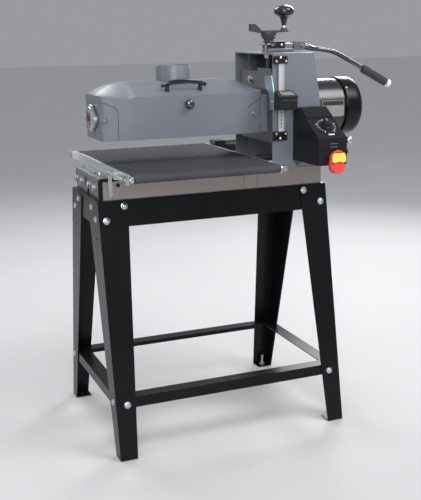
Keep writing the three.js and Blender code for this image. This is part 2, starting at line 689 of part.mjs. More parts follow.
// a box of four plates that rides on the column's ways, with a bridge for the lift nut
function headCarriage() {
  const [left, right] = CARRIAGE_X;
  const drumSide = plate("x", [
    [-119, 872], [119, 872], [119, 1085], [-4, 1085], [-4, 1095], [-102, 1095], [-102, 1085],
    [-119, 1085],
  ], [left, left + 8]);
  const motorSide = block([right - 8, right], [-119, 119], [875, 1062]);
  const bridge = block(CARRIAGE_X, [-42, 42], [1064, BRIDGE_TOP]);
  const guideY = [103, 119];
  const guides = [guideY, flipped(guideY)].map((y) => block(CARRIAGE_X, y, [876, 1062]));
  const wayX = [SCREW_X - WAY_HALF_X - 0.5, SCREW_X + WAY_HALF_X + 0.5];
  const grooveY = [111.5, 130];
  const grooves = [grooveY, flipped(grooveY)].map((y) => block(wayX, y, [860, 1100]));
  return cut(
    join(drumSide, motorSide, bridge, ...guides), ...grooves,
    rod("x", 29, [190, 320], [0, DRUM_Z], 24),
    rod("z", NUT_RADIUS + GAP, [1050, 1100], [SCREW_X, 0], 20));
}

function addHead() {
  addPiece("head_frame", headFrame(), "grey");
  addPiece("latch_catch", latchCatch(), "zinc");
  addPiece("head_carriage", headCarriage(), "iron");
  const bore = SCREW_RADIUS + GAP;
  const flange = BRIDGE_TOP + GAP;
  const nut = turned("z", [
    [1056, bore], [1056, NUT_RADIUS], [flange, NUT_RADIUS], [flange, 22], [1089, 22], [1089, bore],
    [1056, bore],
  ], [SCREW_X, 0], 20);
  addPiece("lift_nut", nut, "bronze");
}

// ---------- sprung pressure rollers either side of the drum ----------
const PRESS_Y = 69;
const PRESS_Z = 911.7;
const PRESS_RADIUS = 11;
const PRESS_AXLE = 4;
const PRESS_X = [-286, 126];

function addPressureRollers() {
  const [left, right] = PRESS_X;
  for (const [name, y] of [["infeed", -PRESS_Y], ["outfeed", PRESS_Y]]) {
    const at = [y, PRESS_Z];
    const barrel = rod("x", PRESS_RADIUS, PRESS_X, at, 20);
    const axle = rod("x", PRESS_AXLE, [left - 11, right + 11], at, 12);
    addPiece(`${name}_roller`, join(barrel, axle), "rubber");
    const yokeY = [y - 7, y + 7];
    const cheeks = [left - 10, right + 4].map((x) => block([x, x + 6], yokeY, [905, 929]));
    const bridge = block([left - 10, right + 10], yokeY, [925, 929]);
    const bores = rod("x", PRESS_AXLE + GAP, [left - 20, right + 20], at, 12);
    addPiece(`${name}_roller_yoke`, cut(join(...cheeks, bridge), bores), "zinc");
  }
}

// ---------- drum, shaft, bearings and motor ----------
// a bearing flange as wide as its hub in the middle, tapering to an ear at each bolt
function diamondFlange([from, to]) {
  const sides = 20;
  const points = [];
  for (const [y, radius] of [[-45, 13], [0, 40], [45, 13]]) {
    for (let i = 0; i < sides; i++) {
      const angle = (i / sides) * Math.PI * 2;
      const [across, up] = [y + radius * Math.cos(angle), DRUM_Z + radius * Math.sin(angle)];
      points.push(new THREE.Vector3(from, across, up), new THREE.Vector3(to, across, up));
    }
  }
  return cut(new ConvexGeometry(points), rod("x", SHAFT_BORE, [from - 5, to + 5], [0, DRUM_Z]));
}

function addDrive() {
  const [left, right] = DRUM_X;
  const axis = [0, DRUM_Z];
  const wall = DRUM_RADIUS - 7;
  addPiece("drum", turned("x", [
    [left, SHAFT_BORE], [left, 24], [-110, 24], [-110, wall], [left, wall], [left, DRUM_RADIUS],
    [right, DRUM_RADIUS], [right, wall], [-50, wall], [-50, 24], [right, 24], [right, SHAFT_BORE],
    [left, SHAFT_BORE],
  ], axis, 32), "abrasive");
  addPiece("drum_shaft", rod("x", SHAFT_RADIUS, [-345, 281], axis, 20), "steel");
  addPiece("outboard_bearing", diamondFlange([-341, HEAD_X[0] - GAP]), "zinc");
  addPiece("inboard_bearing", ring("x", 38, SHAFT_BORE, [180 + GAP, 196], axis, 20), "zinc");
  addPiece("shaft_coupling", turned("x", [
    [258, SHAFT_BORE], [258, 25], [304, 25], [304, 0], [283, 0], [283, SHAFT_BORE], [258, SHAFT_BORE],
  ], axis, 20), "iron");

  const [from, to] = MOTOR_X;
  const inner = MOTOR_RADIUS - 13;
  addPiece("motor_body", turned("x", [
    [from, 0], [from, 70], [from + 10, 74], [from + 14, MOTOR_RADIUS], [to - 6, MOTOR_RADIUS],
    [to - 6, MOTOR_RADIUS - 5], [to, MOTOR_RADIUS - 5], [to, inner], [from + 28, inner], [from + 28, 0],
  ], axis, 32), "black");
  const [capFrom, capTo] = FAN_COVER_X;
  const profile = (shrink) => [
    [capFrom, FAN_COVER_RADIUS - shrink], [capTo - 22, FAN_COVER_RADIUS - shrink],
    [capTo - 10, FAN_COVER_RADIUS - 4 - shrink], [capTo - 3, FAN_COVER_RADIUS - 12 - shrink],
    [capTo - shrink, FAN_COVER_RADIUS - 24 - shrink],
  ];
  addPiece("motor_fan_cover", turned("x", [
    ...profile(0), [capTo, 0], [capTo - 2.5, 0], ...profile(2.5).reverse(), [capFrom, FAN_COVER_RADIUS],
  ], axis, 32), "black");
}

// ---------- control box ----------
const SLOPE_ANGLE = Math.atan2(SLOPE_TOP.z - SLOPE_FOOT.z, SLOPE_TOP.y - SLOPE_FOOT.y);
const DIAL = { x: 308, y: -251 };
const RESET = [-290, 858];
const PADDLE_X = [287, 337];
const PADDLE_Z = [796, 867];
const KEY_Z = [833, 858];

function addControls() {
  const back = -COLUMN_HALF_Y - GAP;
  const outline = (inset) => [
    [back + inset * 3, BOX_BOTTOM + inset], [BOX_FRONT + inset, BOX_BOTTOM + inset],
    [BOX_FRONT + inset, SLOPE_FOOT.z - inset], [SLOPE_TOP.y + inset, SLOPE_TOP.z - inset * 1.2],
    [back + inset * 3, SLOPE_TOP.z - inset * 1.2],
  ];
  const dialZ = SLOPE_FOOT.z + (DIAL.y - BOX_FRONT) * Math.tan(SLOPE_ANGLE);
  const onSlope = (geometry) => geometry.rotateX(SLOPE_ANGLE).translate(DIAL.x, DIAL.y, dialZ);
  const walls = cut(
    plate("x", outline(0), BOX_X), plate("x", outline(2.5), [BOX_X[0] + 2.5, BOX_X[1] - 2.5]),
    onSlope(rod("z", 4, [-10, 10], [0, 0])), rod("x", 5, [340, 360], RESET));
  addPiece("control_box", walls, "black");

  const knob = turned("z", [
    [-6, 0], [-6, 3], [GAP, 3], [GAP, 17], [3, 17], [5, 14], [17, 12.5], [18, 0],
  ], [0, 0], 24);
  addPiece("speed_knob", onSlope(knob), "plastic");

  const [left, right] = PADDLE_X;
  const [low, high] = PADDLE_Z;
  const half = (right - left) / 2;
  const middle = (left + right) / 2;
  const oval = (inset) => {
    const shape = new THREE.Shape();
    shape.absarc(middle, high - half, half - inset, 0, Math.PI);
    shape.absarc(middle, low + half, half - inset, Math.PI, Math.PI * 2);
    return shape;
  };
  const front = BOX_FRONT - 0.8;
  const body = join(plate("y", oval(0), [-317, front]), plate("y", oval(4), [-322, -316]));
  const [keyLow, keyHigh] = KEY_Z;
  const keySlot = block([middle - 14, middle + 14], [-330, -308], KEY_Z);
  addPiece("switch_paddle", cut(body, keySlot), "red");

  const stem = block(
    [middle - 14 + GAP, middle + 14 - GAP], [-323, -308 - GAP], [keyLow + GAP, keyHigh - GAP]);
  const cap = plate("y", [
    [middle - 23, keyLow - 4], [middle + 23, keyLow - 4], [middle + 23, 847],
    [middle + 17, keyHigh + 4], [middle - 17, keyHigh + 4], [middle - 23, 847],
  ], [-328, -322 - GAP]);
  addPiece("safety_key", join(stem, cap), "yellow");

  const button = turned("x", [
    [341, 0], [341, 4.4], [353.2, 4.4], [353.2, 8], [357, 7.5], [358, 0],
  ], RESET, 16);
  addPiece("reset_button", button, "plastic");
}

addStand();
addBase();
addConveyor();
addColumn();
addLockLever();
addGauge();
addCover();
addHead();
addPressureRollers();
addDrive();
addControls();

const covered = new THREE.Box3().setFromObject(machine);
const middle = covered.getCenter(new THREE.Vector3());
machine.position.set(-Math.round(middle.x), -Math.round(middle.y), 0);

export default machine;
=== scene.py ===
"""Looks for the open-end drum sander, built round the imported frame.

Sizes are in millimetres about the middle of the stand, with +Z up from the floor, +X to the
motor and +Y the way the work feeds. place() turns such a point into the frame's metres.
"""
import math

import bmesh
import bpy
from mathutils import Matrix, Vector


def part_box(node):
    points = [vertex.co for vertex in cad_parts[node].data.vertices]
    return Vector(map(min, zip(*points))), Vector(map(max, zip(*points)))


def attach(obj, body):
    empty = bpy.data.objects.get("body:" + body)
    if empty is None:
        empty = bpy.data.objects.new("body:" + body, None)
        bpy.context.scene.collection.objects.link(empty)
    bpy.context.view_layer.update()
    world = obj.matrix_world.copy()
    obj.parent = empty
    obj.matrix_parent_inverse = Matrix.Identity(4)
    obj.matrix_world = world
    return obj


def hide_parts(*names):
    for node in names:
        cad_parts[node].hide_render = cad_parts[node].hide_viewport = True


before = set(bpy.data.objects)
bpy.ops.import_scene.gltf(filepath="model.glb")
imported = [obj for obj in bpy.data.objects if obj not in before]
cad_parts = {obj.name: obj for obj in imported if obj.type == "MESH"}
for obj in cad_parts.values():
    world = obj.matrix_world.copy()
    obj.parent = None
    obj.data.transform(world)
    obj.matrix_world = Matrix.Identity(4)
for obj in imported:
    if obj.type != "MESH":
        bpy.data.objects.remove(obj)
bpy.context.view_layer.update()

# the stand's centre on the floor, from two legs across from each other
CENTRE = (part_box("leg_front_left")[0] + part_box("leg_rear_right")[1]) / 2
CENTRE.z = 0


def place(point):
    return Vector(point) / 1000 + CENTRE


# ---------- driving sizes, as the frame has them ----------
STAND_TOP = 741
LEG_Y_TOP = 145
LEG_Y_FLOOR = 281
LEG_X = 368
BASE_FRONT = -138
DRUM_Z = 965
ROLLER_Y = 289
ROLLER_Z = 821
PIVOT_Z = 1160
SCREW_X = 241
KNOB_X = 294
LATCH = (-67, 1001)
HEAD_LEFT, HEAD_RIGHT = -331, 177
SLOPE_FOOT = Vector((308, -301, 900))
SLOPE_TOP = Vector((308, -172, 980))
X_AXIS, Y_AXIS, Z_AXIS = Vector((1, 0, 0)), Vector((0, 1, 0)), Vector((0, 0, 1))


# ---------- mesh code ----------
# the faces of a block, from its corners listed with the last axis changing fastest
BLOCK_FACES = [(0, 1, 3, 2), (4, 6, 7, 5), (0, 4, 5, 1), (2, 3, 7, 6), (0, 2, 6, 4), (1, 5, 7, 3)]


class Form:
    """Vertices and faces in millimetres, gathered from simple shapes."""

    def __init__(self):
        self.verts, self.faces = [], []

    def add(self, verts, faces):
        start = len(self.verts)
        self.verts += [Vector(v) for v in verts]
        self.faces += [[i + start for i in face] for face in faces]
        return self

    def box(self, x, y, z, turn=None, about=None):
        """A block over three spans, turned by a rotation about a point if one is given."""
        corners = [Vector((a, b, c)) for a in x for b in y for c in z]
        if turn is not None:
            corners = [turn @ (v - about) + about for v in corners]
        return self.add(corners, BLOCK_FACES)

    def prism(self, outline, axis, span):
        """A flat outline in the two axes other than `axis`, as thick as the span along it."""
        order = {
            "x": lambda a, b, c: (c, a, b),
            "y": lambda a, b, c: (a, c, b),
            "z": lambda a, b, c: (a, b, c),
        }[axis]
        count = len(outline)
        verts = [order(a, b, c) for c in span for a, b in outline]
        sides = [(i, (i + 1) % count, count + (i + 1) % count, count + i) for i in range(count)]
        caps = [list(range(count))[::-1], list(range(count, 2 * count))]
        return self.add(verts, sides + caps)

    def lathe(self, profile, at, axis, sides, ring=False):
        """(distance, radius) pairs turned about an axis through `at`; a ring's profile is a loop."""
        axis = Vector(axis).normalized()
        turn = axis.to_track_quat("Z", "Y").to_matrix()
        rings, verts = [], []
        for along, radius in profile:
            steps = 1 if radius < 1e-6 else sides
            rings.append([len(verts) + i for i in range(steps)])
            for i in range(steps):
                a = 2 * math.pi * i / sides
                out = Vector((radius * math.cos(a), radius * math.sin(a), along))
                verts.append(Vector(at) + turn @ out)
        faces = []
        pairs = list(zip(rings, rings[1:])) + ([(rings[-1], rings[0])] if ring else [])
        for low, high in pairs:
            for i in range(sides):
                j = (i + 1) % sides
                face = [low[i % len(low)], low[j % len(low)], high[j % len(high)], high[i % len(high)]]
                face = [v for k, v in enumerate(face) if v not in face[:k]]
                if len(face) > 2:
                    faces.append(face)
        if not ring:
            for cap, flip in ((rings[0], True), (rings[-1], False)):
                if len(cap) > 1:
                    faces.append(cap[::-1] if flip else cap)
        return self.add(verts, faces)

    def tube(self, points, radii, sides):
        """A round bar along points, with a radius, or a (wide, high) pair, at each."""
        points = [Vector(p) for p in points]
        verts, faces = [], []
        for i, p in enumerate(points):
            ahead = (points[min(i + 1, len(points) - 1)] - points[max(i - 1, 0)]).normalized()
            side = ahead.cross(Y_AXIS if abs(ahead.y) < 0.9 else Z_AXIS).normalized()
            up = side.cross(ahead)
            wide, high = radii[i] if isinstance(radii[i], tuple) else (radii[i], radii[i])
            for k in range(sides):
                a = 2 * math.pi * k / sides
                verts.append(p + up * wide * math.cos(a) + side * high * math.sin(a))
        for i in range(len(points) - 1):
            for k in range(sides):
                j = (k + 1) % sides
                faces.append([i * sides + k, i * sides + j, (i + 1) * sides + j, (i + 1) * sides + k])
        faces.append(list(range(sides))[::-1])
        faces.append([(len(points) - 1) * sides + k for k in range(sides)])
        return self.add(verts, faces)

    def round_bolt(self, at, axis, radius=10.0, height=5.5):
        """A button head with a flange and a socket."""
        flange = [(0, 0), (0, radius), (1.4, radius)]
        dome = [(2.0, radius * 0.78), (height * 0.75, radius * 0.62), (height, radius * 0.36)]
        socket = [(height, radius * 0.26), (height * 0.5, radius * 0.26), (height * 0.5, 0)]
        return self.lathe(flange + dome + socket, at, axis, 24)

    def hex_bolt(self, at, axis, radius, height, washer=0.0):
        """A chamfered hexagon head, on a washer of that radius if one is given."""
        base = 0.0
        if washer:
            self.lathe([(0, 0), (0, washer), (1.4, washer), (1.4, 0)], at, axis, 24)
            base = 1.3
        top = base + height
        head = [(base, 0), (base, radius), (top - 1, radius), (top, radius * 0.86), (top, 0)]
        return self.lathe(head, at, axis, 6)

    def nut_and_thread(self, at, axis, nut, thread, length):
        """A hexagon nut of that radius, and the end of the stud that stands out of it."""
        self.lathe([(0, 0), (0, nut), (4.5, nut), (5.5, nut * 0.87), (5.5, 0)], at, axis, 6)
        return self.lathe(threaded(5.0, length, thread), at, axis, 16)


def threaded(start, end, radius, pitch=1.6):
    """The profile of a threaded rod: ridges at every pitch between two distances."""
    profile = [(start, 0)]
    count = max(1, round((end - start) / pitch))
    step = (end - start) / count
    for i in range(count):
        profile += [(start + i * step, radius * 0.88), (start + (i + 0.5) * step, radius)]
    return profile + [(end, radius * 0.88), (end, 0)]


def arc(cx, cy, radius, start, end, count):
    """Points on an arc, with angles in degrees."""
    return [
        (cx + radius * math.cos(math.radians(start + (end - start) * i / count)),
         cy + radius * math.sin(math.radians(start + (end - start) * i / count)))
        for i in range(count + 1)
    ]


def soften(obj, bevel, segments, angle, dissolve=False):
    """Rounded edges and even shading; dissolve first merges a CAD mesh's flat triangles."""
    if dissolve:
        flat = obj.modifiers.new("flat faces", "DECIMATE")
        flat.decimate_type = "DISSOLVE"
        flat.angle_limit = math.radians(0.6)
    if bevel:
        edge = obj.modifiers.new("edges", "BEVEL")
        edge.width = bevel / 1000
        edge.segments = segments
        edge.limit_method = "ANGLE"
        edge.angle_limit = math.radians(angle)
        edge.use_clamp_overlap = True
        edge.miter_outer = "MITER_ARC"
    obj.data.polygons.foreach_set("use_smooth", [True] * len(obj.data.polygons))
    if bevel:
        even = obj.modifiers.new("even shading", "WEIGHTED_NORMAL")
        even.keep_sharp = True
        even.weight = 80
    else:
        obj.data.set_sharp_from_angle(angle=math.radians(angle))


def new_object(form, name):
    """The form as an object in the frame's metres, with its faces turned outwards."""
    mesh = bpy.data.meshes.new(name)
    mesh.from_pydata([place(v) for v in form.verts], [], form.faces)
    work = bmesh.new()
    work.from_mesh(mesh)
    bmesh.ops.recalc_face_normals(work, faces=work.faces)
    work.to_mesh(mesh)
    work.free()
    obj = bpy.data.objects.new(name, mesh)
    bpy.context.scene.collection.objects.link(obj)
    return obj


def carve(obj, tools):
    """Cuts the tools, a form of closed solids, out of the object's mesh."""
    tool = new_object(tools, "cuts")
    cut = obj.modifiers.new("cuts", "BOOLEAN")
    cut.operation, cut.object, cut.solver = "DIFFERENCE", tool, "EXACT"
    depsgraph = bpy.context.evaluated_depsgraph_get()
    mesh = bpy.data.meshes.new_from_object(obj.evaluated_get(depsgraph))
    obj.modifiers.clear()
    obj.data = mesh
    bpy.data.objects.remove(tool)


def piece(form, name, body, material, bevel=0.0, segments=2, angle=35, replaces=()):
    """The form as an object that rides on a body."""
    obj = new_object(form, name)
    obj.data.materials.append(material)
    soften(obj, bevel, segments, angle)
    if replaces:
        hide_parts(*replaces)
    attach(obj, body)


def keep(node, material, bevel=0.0, segments=2, angle=35):
    """A CAD node that stays as it is, with rounded edges and its material."""
    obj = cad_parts[node]
    for name in ("custom_normal", "sharp_edge"):
        if name in obj.data.attributes:
            obj.data.attributes.remove(obj.data.attributes[name])
    obj.data.materials.clear()
    obj.data.materials.append(material)
    soften(obj, bevel, segments, angle, dissolve=True)


# ---------- materials ----------
class Nodes:
    """A material's node tree, with short calls for what the finishes below share."""

    def __init__(self, name):
        self.material = bpy.data.materials.new(name)
        self.material.use_nodes = True
        self.tree = self.material.node_tree
        self.shader = self.tree.nodes["Principled BSDF"]
        self.point = self.new("ShaderNodeTexCoord").outputs["Object"]

    def new(self, kind, **values):
        node = self.tree.nodes.new(kind)
        for key, value in values.items():
            setattr(node, key, value)
        return node

    def link(self, source, socket):
        self.tree.links.new(source, socket)

    def noise(self, scale, detail, stretch=(1, 1, 1)):
        mapping = self.new("ShaderNodeMapping")
        mapping.inputs["Scale"].default_value = stretch
        self.link(self.point, mapping.inputs["Vector"])
        noise = self.new("ShaderNodeTexNoise")
        noise.inputs["Scale"].default_value = scale
        noise.inputs["Detail"].default_value = detail
        self.link(mapping.outputs["Vector"], noise.inputs["Vector"])
        return noise.outputs["Fac"]

    def math(self, operation, a, b=0.0, c=0.0):
        node = self.new("ShaderNodeMath", operation=operation)
        for socket, value in zip(node.inputs, (a, b, c)):
            if isinstance(value, (int, float)):
                socket.default_value = value
            else:
                self.link(value, socket)
        return node.outputs[0]

    def spread(self, value, low, high, start=0.3, end=0.7):
        """The value between start and end, stretched to run from low to high."""
        node = self.new("ShaderNodeMapRange")
        self.link(value, node.inputs["Value"])
        for name, number in (("From Min", start), ("From Max", end), ("To Min", low), ("To Max", high)):
            node.inputs[name].default_value = number
        return node.outputs["Result"]

    def mix(self, share, a, b):
        node = self.new("ShaderNodeMix", data_type="RGBA")
        self.link(share, node.inputs["Factor"])
        for name, value in (("A", a), ("B", b)):
            sockets = [s for s in node.inputs if s.name == name and s.type == "RGBA"]
            if isinstance(value, tuple):
                sockets[0].default_value = (*value, 1)
            else:
                self.link(value, sockets[0])
        return [s for s in node.outputs if s.type == "RGBA"][0]

    def bump(self, height, depth):
        """Depth is in millimetres."""
        node = self.new("ShaderNodeBump")
        node.inputs["Strength"].default_value = 1
        node.inputs["Distance"].default_value = depth / 1000
        self.link(height, node.inputs["Height"])
        self.link(node.outputs["Normal"], self.shader.inputs["Normal"])


def shade(colour, factor):
    """The colour made lighter or darker, channel by channel."""
    return tuple(min(1.0, c * factor) for c in colour)


def finish(
    name, colour, rough, metallic=0.0, vary=0.08, cloud=5.0, rough_vary=0.06, grain=500.0,
    depth=0.02, stretch=(1, 1, 1), coat=0.0, coat_rough=0.1, flecks=None, specular=0.5,
):
    """Base colour clouded at a broad scale, roughness varied, and a fine grain in the surface.
    flecks is (colour, scale, share) for small marks such as dust, grit or pits."""
    n = Nodes(name)
    broad = n.noise(cloud, 3.0, stretch)
    fine = n.noise(grain, 3.0, stretch)
    base = n.mix(n.spread(broad, 0.0, 1.0), shade(colour, 1 - vary), shade(colour, 1 + vary))
    if flecks:
        fleck_colour, fleck_scale, fleck_share = flecks
        spots = n.spread(n.noise(fleck_scale, 1.0), 0.0, 1.0, 0.72 - fleck_share, 0.78 - fleck_share)
        base = n.mix(spots, base, fleck_colour)
    n.link(base, n.shader.inputs["Base Color"])
    rough_noise = n.math("MULTIPLY_ADD", fine, 0.4, n.math("MULTIPLY", broad, 0.6))
    roughness = n.spread(rough_noise, max(0.02, rough - rough_vary), rough + rough_vary)
    n.link(roughness, n.shader.inputs["Roughness"])
    n.shader.inputs["Metallic"].default_value = metallic
    n.shader.inputs["Specular IOR Level"].default_value = specular
    n.shader.inputs["Coat Weight"].default_value = coat
    n.shader.inputs["Coat Roughness"].default_value = coat_rough
    n.bump(fine, depth)
    return n.material


def grit(name, colour, painted_glint_colour, scale, depth, rough):
    """Abrasive grains: cells of uneven height in the bump, and lighter specks painted into the colour
    as a painted highlight.
    """
    n = Nodes(name)
    cells = n.new("ShaderNodeTexVoronoi")
    cells.inputs["Scale"].default_value = scale
    n.link(n.point, cells.inputs["Vector"])
    broad = n.noise(7.0, 3.0)
    base = n.mix(n.spread(broad, 0.0, 1.0), shade(colour, 0.88), shade(colour, 1.12))
    # lighter specks mixed into the base colour: painted highlight
    painted_glints = n.spread(n.noise(scale * 0.6, 2.0), 0.0, 1.0, 0.58, 0.72)
    n.link(n.mix(painted_glints, base, painted_glint_colour), n.shader.inputs["Base Color"])
    n.link(n.spread(broad, rough - 0.08, rough + 0.05), n.shader.inputs["Roughness"])
    n.shader.inputs["Specular IOR Level"].default_value = 0.12
    n.bump(cells.outputs["Distance"], depth)
    return n.material


def wrapped_drum(name):
    """Abrasive strip wound on the drum, with the seam of its spiral."""
    n = Nodes(name)
    parts = n.new("ShaderNodeSeparateXYZ")
    n.link(n.point, parts.inputs["Vector"])
    axis = place((0, 0, DRUM_Z))
    across = n.math("SUBTRACT", parts.outputs["Y"], axis.y)
    up = n.math("SUBTRACT", parts.outputs["Z"], axis.z)
    turn = n.math("DIVIDE", n.math("ARCTAN2", across, up), 2 * math.pi)
    strip = n.math("FRACT", n.math("ADD", n.math("DIVIDE", parts.outputs["X"], 0.078), turn))
    seam = n.spread(n.math("ABSOLUTE", n.math("SUBTRACT", strip, 0.5)), 0.0, 1.0, 0.488, 0.494)
    grains = n.noise(1400.0, 2.0)
    worn = n.spread(n.noise(9.0, 3.0, (1, 0.2, 0.2)), 0.0, 1.0)
    base = n.mix(worn, (0.20, 0.085, 0.045), (0.27, 0.13, 0.075))
    base = n.mix(n.spread(grains, 0.0, 1.0, 0.55, 0.75), base, (0.42, 0.26, 0.18))
    n.link(n.mix(seam, base, (0.02, 0.012, 0.01)), n.shader.inputs["Base Color"])
    n.shader.inputs["Roughness"].default_value = 0.85
    n.shader.inputs["Specular IOR Level"].default_value = 0.3
    n.bump(n.math("SUBTRACT", grains, seam), 0.15)
    return n.material


GREY = finish("grey_paint", (0.160, 0.175, 0.209), 0.40, vary=0.04, grain=900.0, depth=0.012,
              coat=0.2, coat_rough=0.36, flecks=((0.22, 0.23, 0.26), 2600.0, 0.02))
# black powder coat, also used as the painted shade at the base's left front corner
BLACK = finish("black_powder_coat_and_painted_shade", (0.0045, 0.0048, 0.0060), 0.28, vary=0.15, grain=420.0, depth=0.02,
               rough_vary=0.06, specular=0.22, flecks=((0.018, 0.018, 0.021), 1800.0, 0.01))
BLACK_GLOSS = finish("black_gloss_paint", (0.0075, 0.0085, 0.0125), 0.30, vary=0.12, grain=300.0,
                     depth=0.008, coat=0.4, coat_rough=0.18)
BOX_BLACK = finish("black_textured_paint", (0.0055, 0.0066, 0.0095), 0.40, vary=0.12, grain=1300.0,
                   depth=0.04, specular=0.35)
# metal of the base, tinted warm tan: the tint is a painted reflection of a tan floor
BARE_WITH_TAN_REFLECTION = finish("bare_metal_with_painted_tan_reflection", (0.36, 0.325, 0.305), 0.32, metallic=1.0, vary=0.12, cloud=7.0,
              rough_vary=0.08, grain=260.0, depth=0.008, stretch=(0.12, 1, 1),
              flecks=((0.24, 0.2, 0.17), 60.0, 0.0))
ZINC = finish("zinc_plate", (0.56, 0.61, 0.63), 0.30, metallic=1.0, vary=0.10, cloud=40.0, grain=700.0,
              depth=0.006)
PALE_ZINC = finish("blue_zinc_sheet", (0.36, 0.45, 0.50), 0.40, metallic=0.7, vary=0.08, cloud=16.0,
                   grain=600.0, depth=0.01)
BRONZE = finish("sintered_bronze", (0.55, 0.30, 0.14), 0.36, metallic=1.0, vary=0.12, cloud=60.0,
                grain=900.0, depth=0.01)
BRASS = finish("brass", (0.62, 0.46, 0.22), 0.30, metallic=1.0, vary=0.06, cloud=60.0, grain=600.0,
               depth=0.006)
ALUMINIUM = finish("machined_aluminium", (0.74, 0.77, 0.80), 0.38, metallic=0.8, vary=0.05, cloud=10.0,
                   grain=420.0, depth=0.008, stretch=(1, 0.08, 1))
IRON = finish("cast_iron", (0.062, 0.064, 0.074), 0.45, metallic=0.35, vary=0.14, cloud=30.0,
              rough_vary=0.1, grain=260.0, depth=0.10)
MACHINED_IRON = finish("machined_iron", (0.25, 0.25, 0.255), 0.40, metallic=0.85, vary=0.10, cloud=18.0,
                       grain=360.0, depth=0.012, stretch=(1, 0.15, 1))
DARK_CHROME = finish("dark_chrome", (0.15, 0.148, 0.158), 0.18, metallic=1.0, vary=0.06, cloud=20.0,
                     grain=200.0, depth=0.004)
STEEL = finish("bright_steel", (0.60, 0.60, 0.60), 0.22, metallic=1.0, vary=0.05, cloud=40.0,
               grain=600.0, depth=0.005)
BOLT_STEEL = finish("bolt_steel", (0.34, 0.35, 0.37), 0.30, metallic=1.0, vary=0.10, cloud=60.0,
                    grain=700.0, depth=0.006)
PLASTIC = finish("black_plastic", (0.009, 0.009, 0.011), 0.42, vary=0.1, grain=1600.0, depth=0.02,
                 specular=0.35)
PLASTIC_GLOSS = finish("black_glossy_plastic", (0.010, 0.011, 0.014), 0.14, vary=0.08, grain=200.0,
                       depth=0.004, coat=0.4, coat_rough=0.06)
RUBBER = finish("black_rubber", (0.030, 0.031, 0.036), 0.60, vary=0.10, grain=1100.0, depth=0.04)
RED = finish("red_plastic", (0.80, 0.065, 0.050), 0.34, vary=0.04, cloud=30.0, grain=900.0, depth=0.008,
             coat=0.2)
YELLOW = finish("yellow_plastic", (0.88, 0.68, 0.10), 0.36, vary=0.03, cloud=30.0, grain=900.0,
                depth=0.008, coat=0.2)
WHITE = finish("white_plastic", (0.50, 0.51, 0.53), 0.40, vary=0.03, cloud=30.0, grain=900.0,
               depth=0.006)
CAP_WHITE = finish("white_cap", (0.74, 0.75, 0.77), 0.35, vary=0.03, cloud=30.0, grain=900.0,
                   depth=0.006)
PRINT_WHITE = finish("white_print", (0.62, 0.64, 0.66), 0.5, vary=0.04, grain=900.0, depth=0.004)
# black for print and seams, and for the painted shade in the bracket's slots
PRINT_AND_SHADE_BLACK = finish("black_print_and_painted_shade", (0.012, 0.012, 0.012), 0.5, vary=0.1, grain=900.0, depth=0.004)
SEAL = finish("seal", (0.40, 0.16, 0.11), 0.5, vary=0.08, cloud=60.0, grain=900.0, depth=0.02)
GLASS = finish("display", (0.16, 0.18, 0.17), 0.18, vary=0.05, grain=400.0, depth=0.003, coat=0.6,
               coat_rough=0.05)
CREAM = finish("data_plate", (0.36, 0.33, 0.30), 0.38, metallic=0.4, vary=0.10, cloud=60.0, grain=800.0,
               depth=0.006)
# the lighter second colour is the painted highlight of the grit
BELT = grit("belt_grit_with_painted_glints", (0.055, 0.057, 0.068), (0.125, 0.13, 0.15), 1500.0, 0.15, 0.72)
DRUM = wrapped_drum("abrasive_wrap")


# ---------- stand ----------
LEG_LEAN = (LEG_Y_FLOOR - LEG_Y_TOP) / STAND_TOP


def leg_y(z):
    """How far out the front and rear faces of the legs are at a height."""
    return LEG_Y_TOP + (STAND_TOP - z) * LEG_LEAN


def stand():
    for end in ("front", "rear"):
        for side in ("left", "right"):
            keep(f"leg_{end}_{side}", BLACK, 1.3, 3)
    for level in ("upper", "lower"):
        for side in ("front", "rear", "left", "right"):
            keep(f"{level}_rail_{side}", BLACK, 1.0)
    for end, y_sign in (("front", -1), ("rear", 1)):
        bolts = Form()
        outward = Vector((0, y_sign, LEG_LEAN))
        for x_sign in (-1, 1):
            for x, z in ((290, 724), (346, 686), (333, 159)):
                bolts.round_bolt((x * x_sign, y_sign * leg_y(z), z), outward)
            for y, z in ((76, 716), (120, 687), (226, 164)):
                bolts.round_bolt((LEG_X * x_sign, y * y_sign, z), (x_sign, 0, 0))
        piece(bolts, f"stand_bolts_{end}", "machine", ZINC)
    foot = Form().lathe(threaded(-2, 34, 5), (342, 258, 3), Z_AXIS, 20)
    foot.hex_bolt((342, 258, 3), Z_AXIS, 9, 7, 12)
    piece(foot, "levelling_stud", "machine", ZINC)


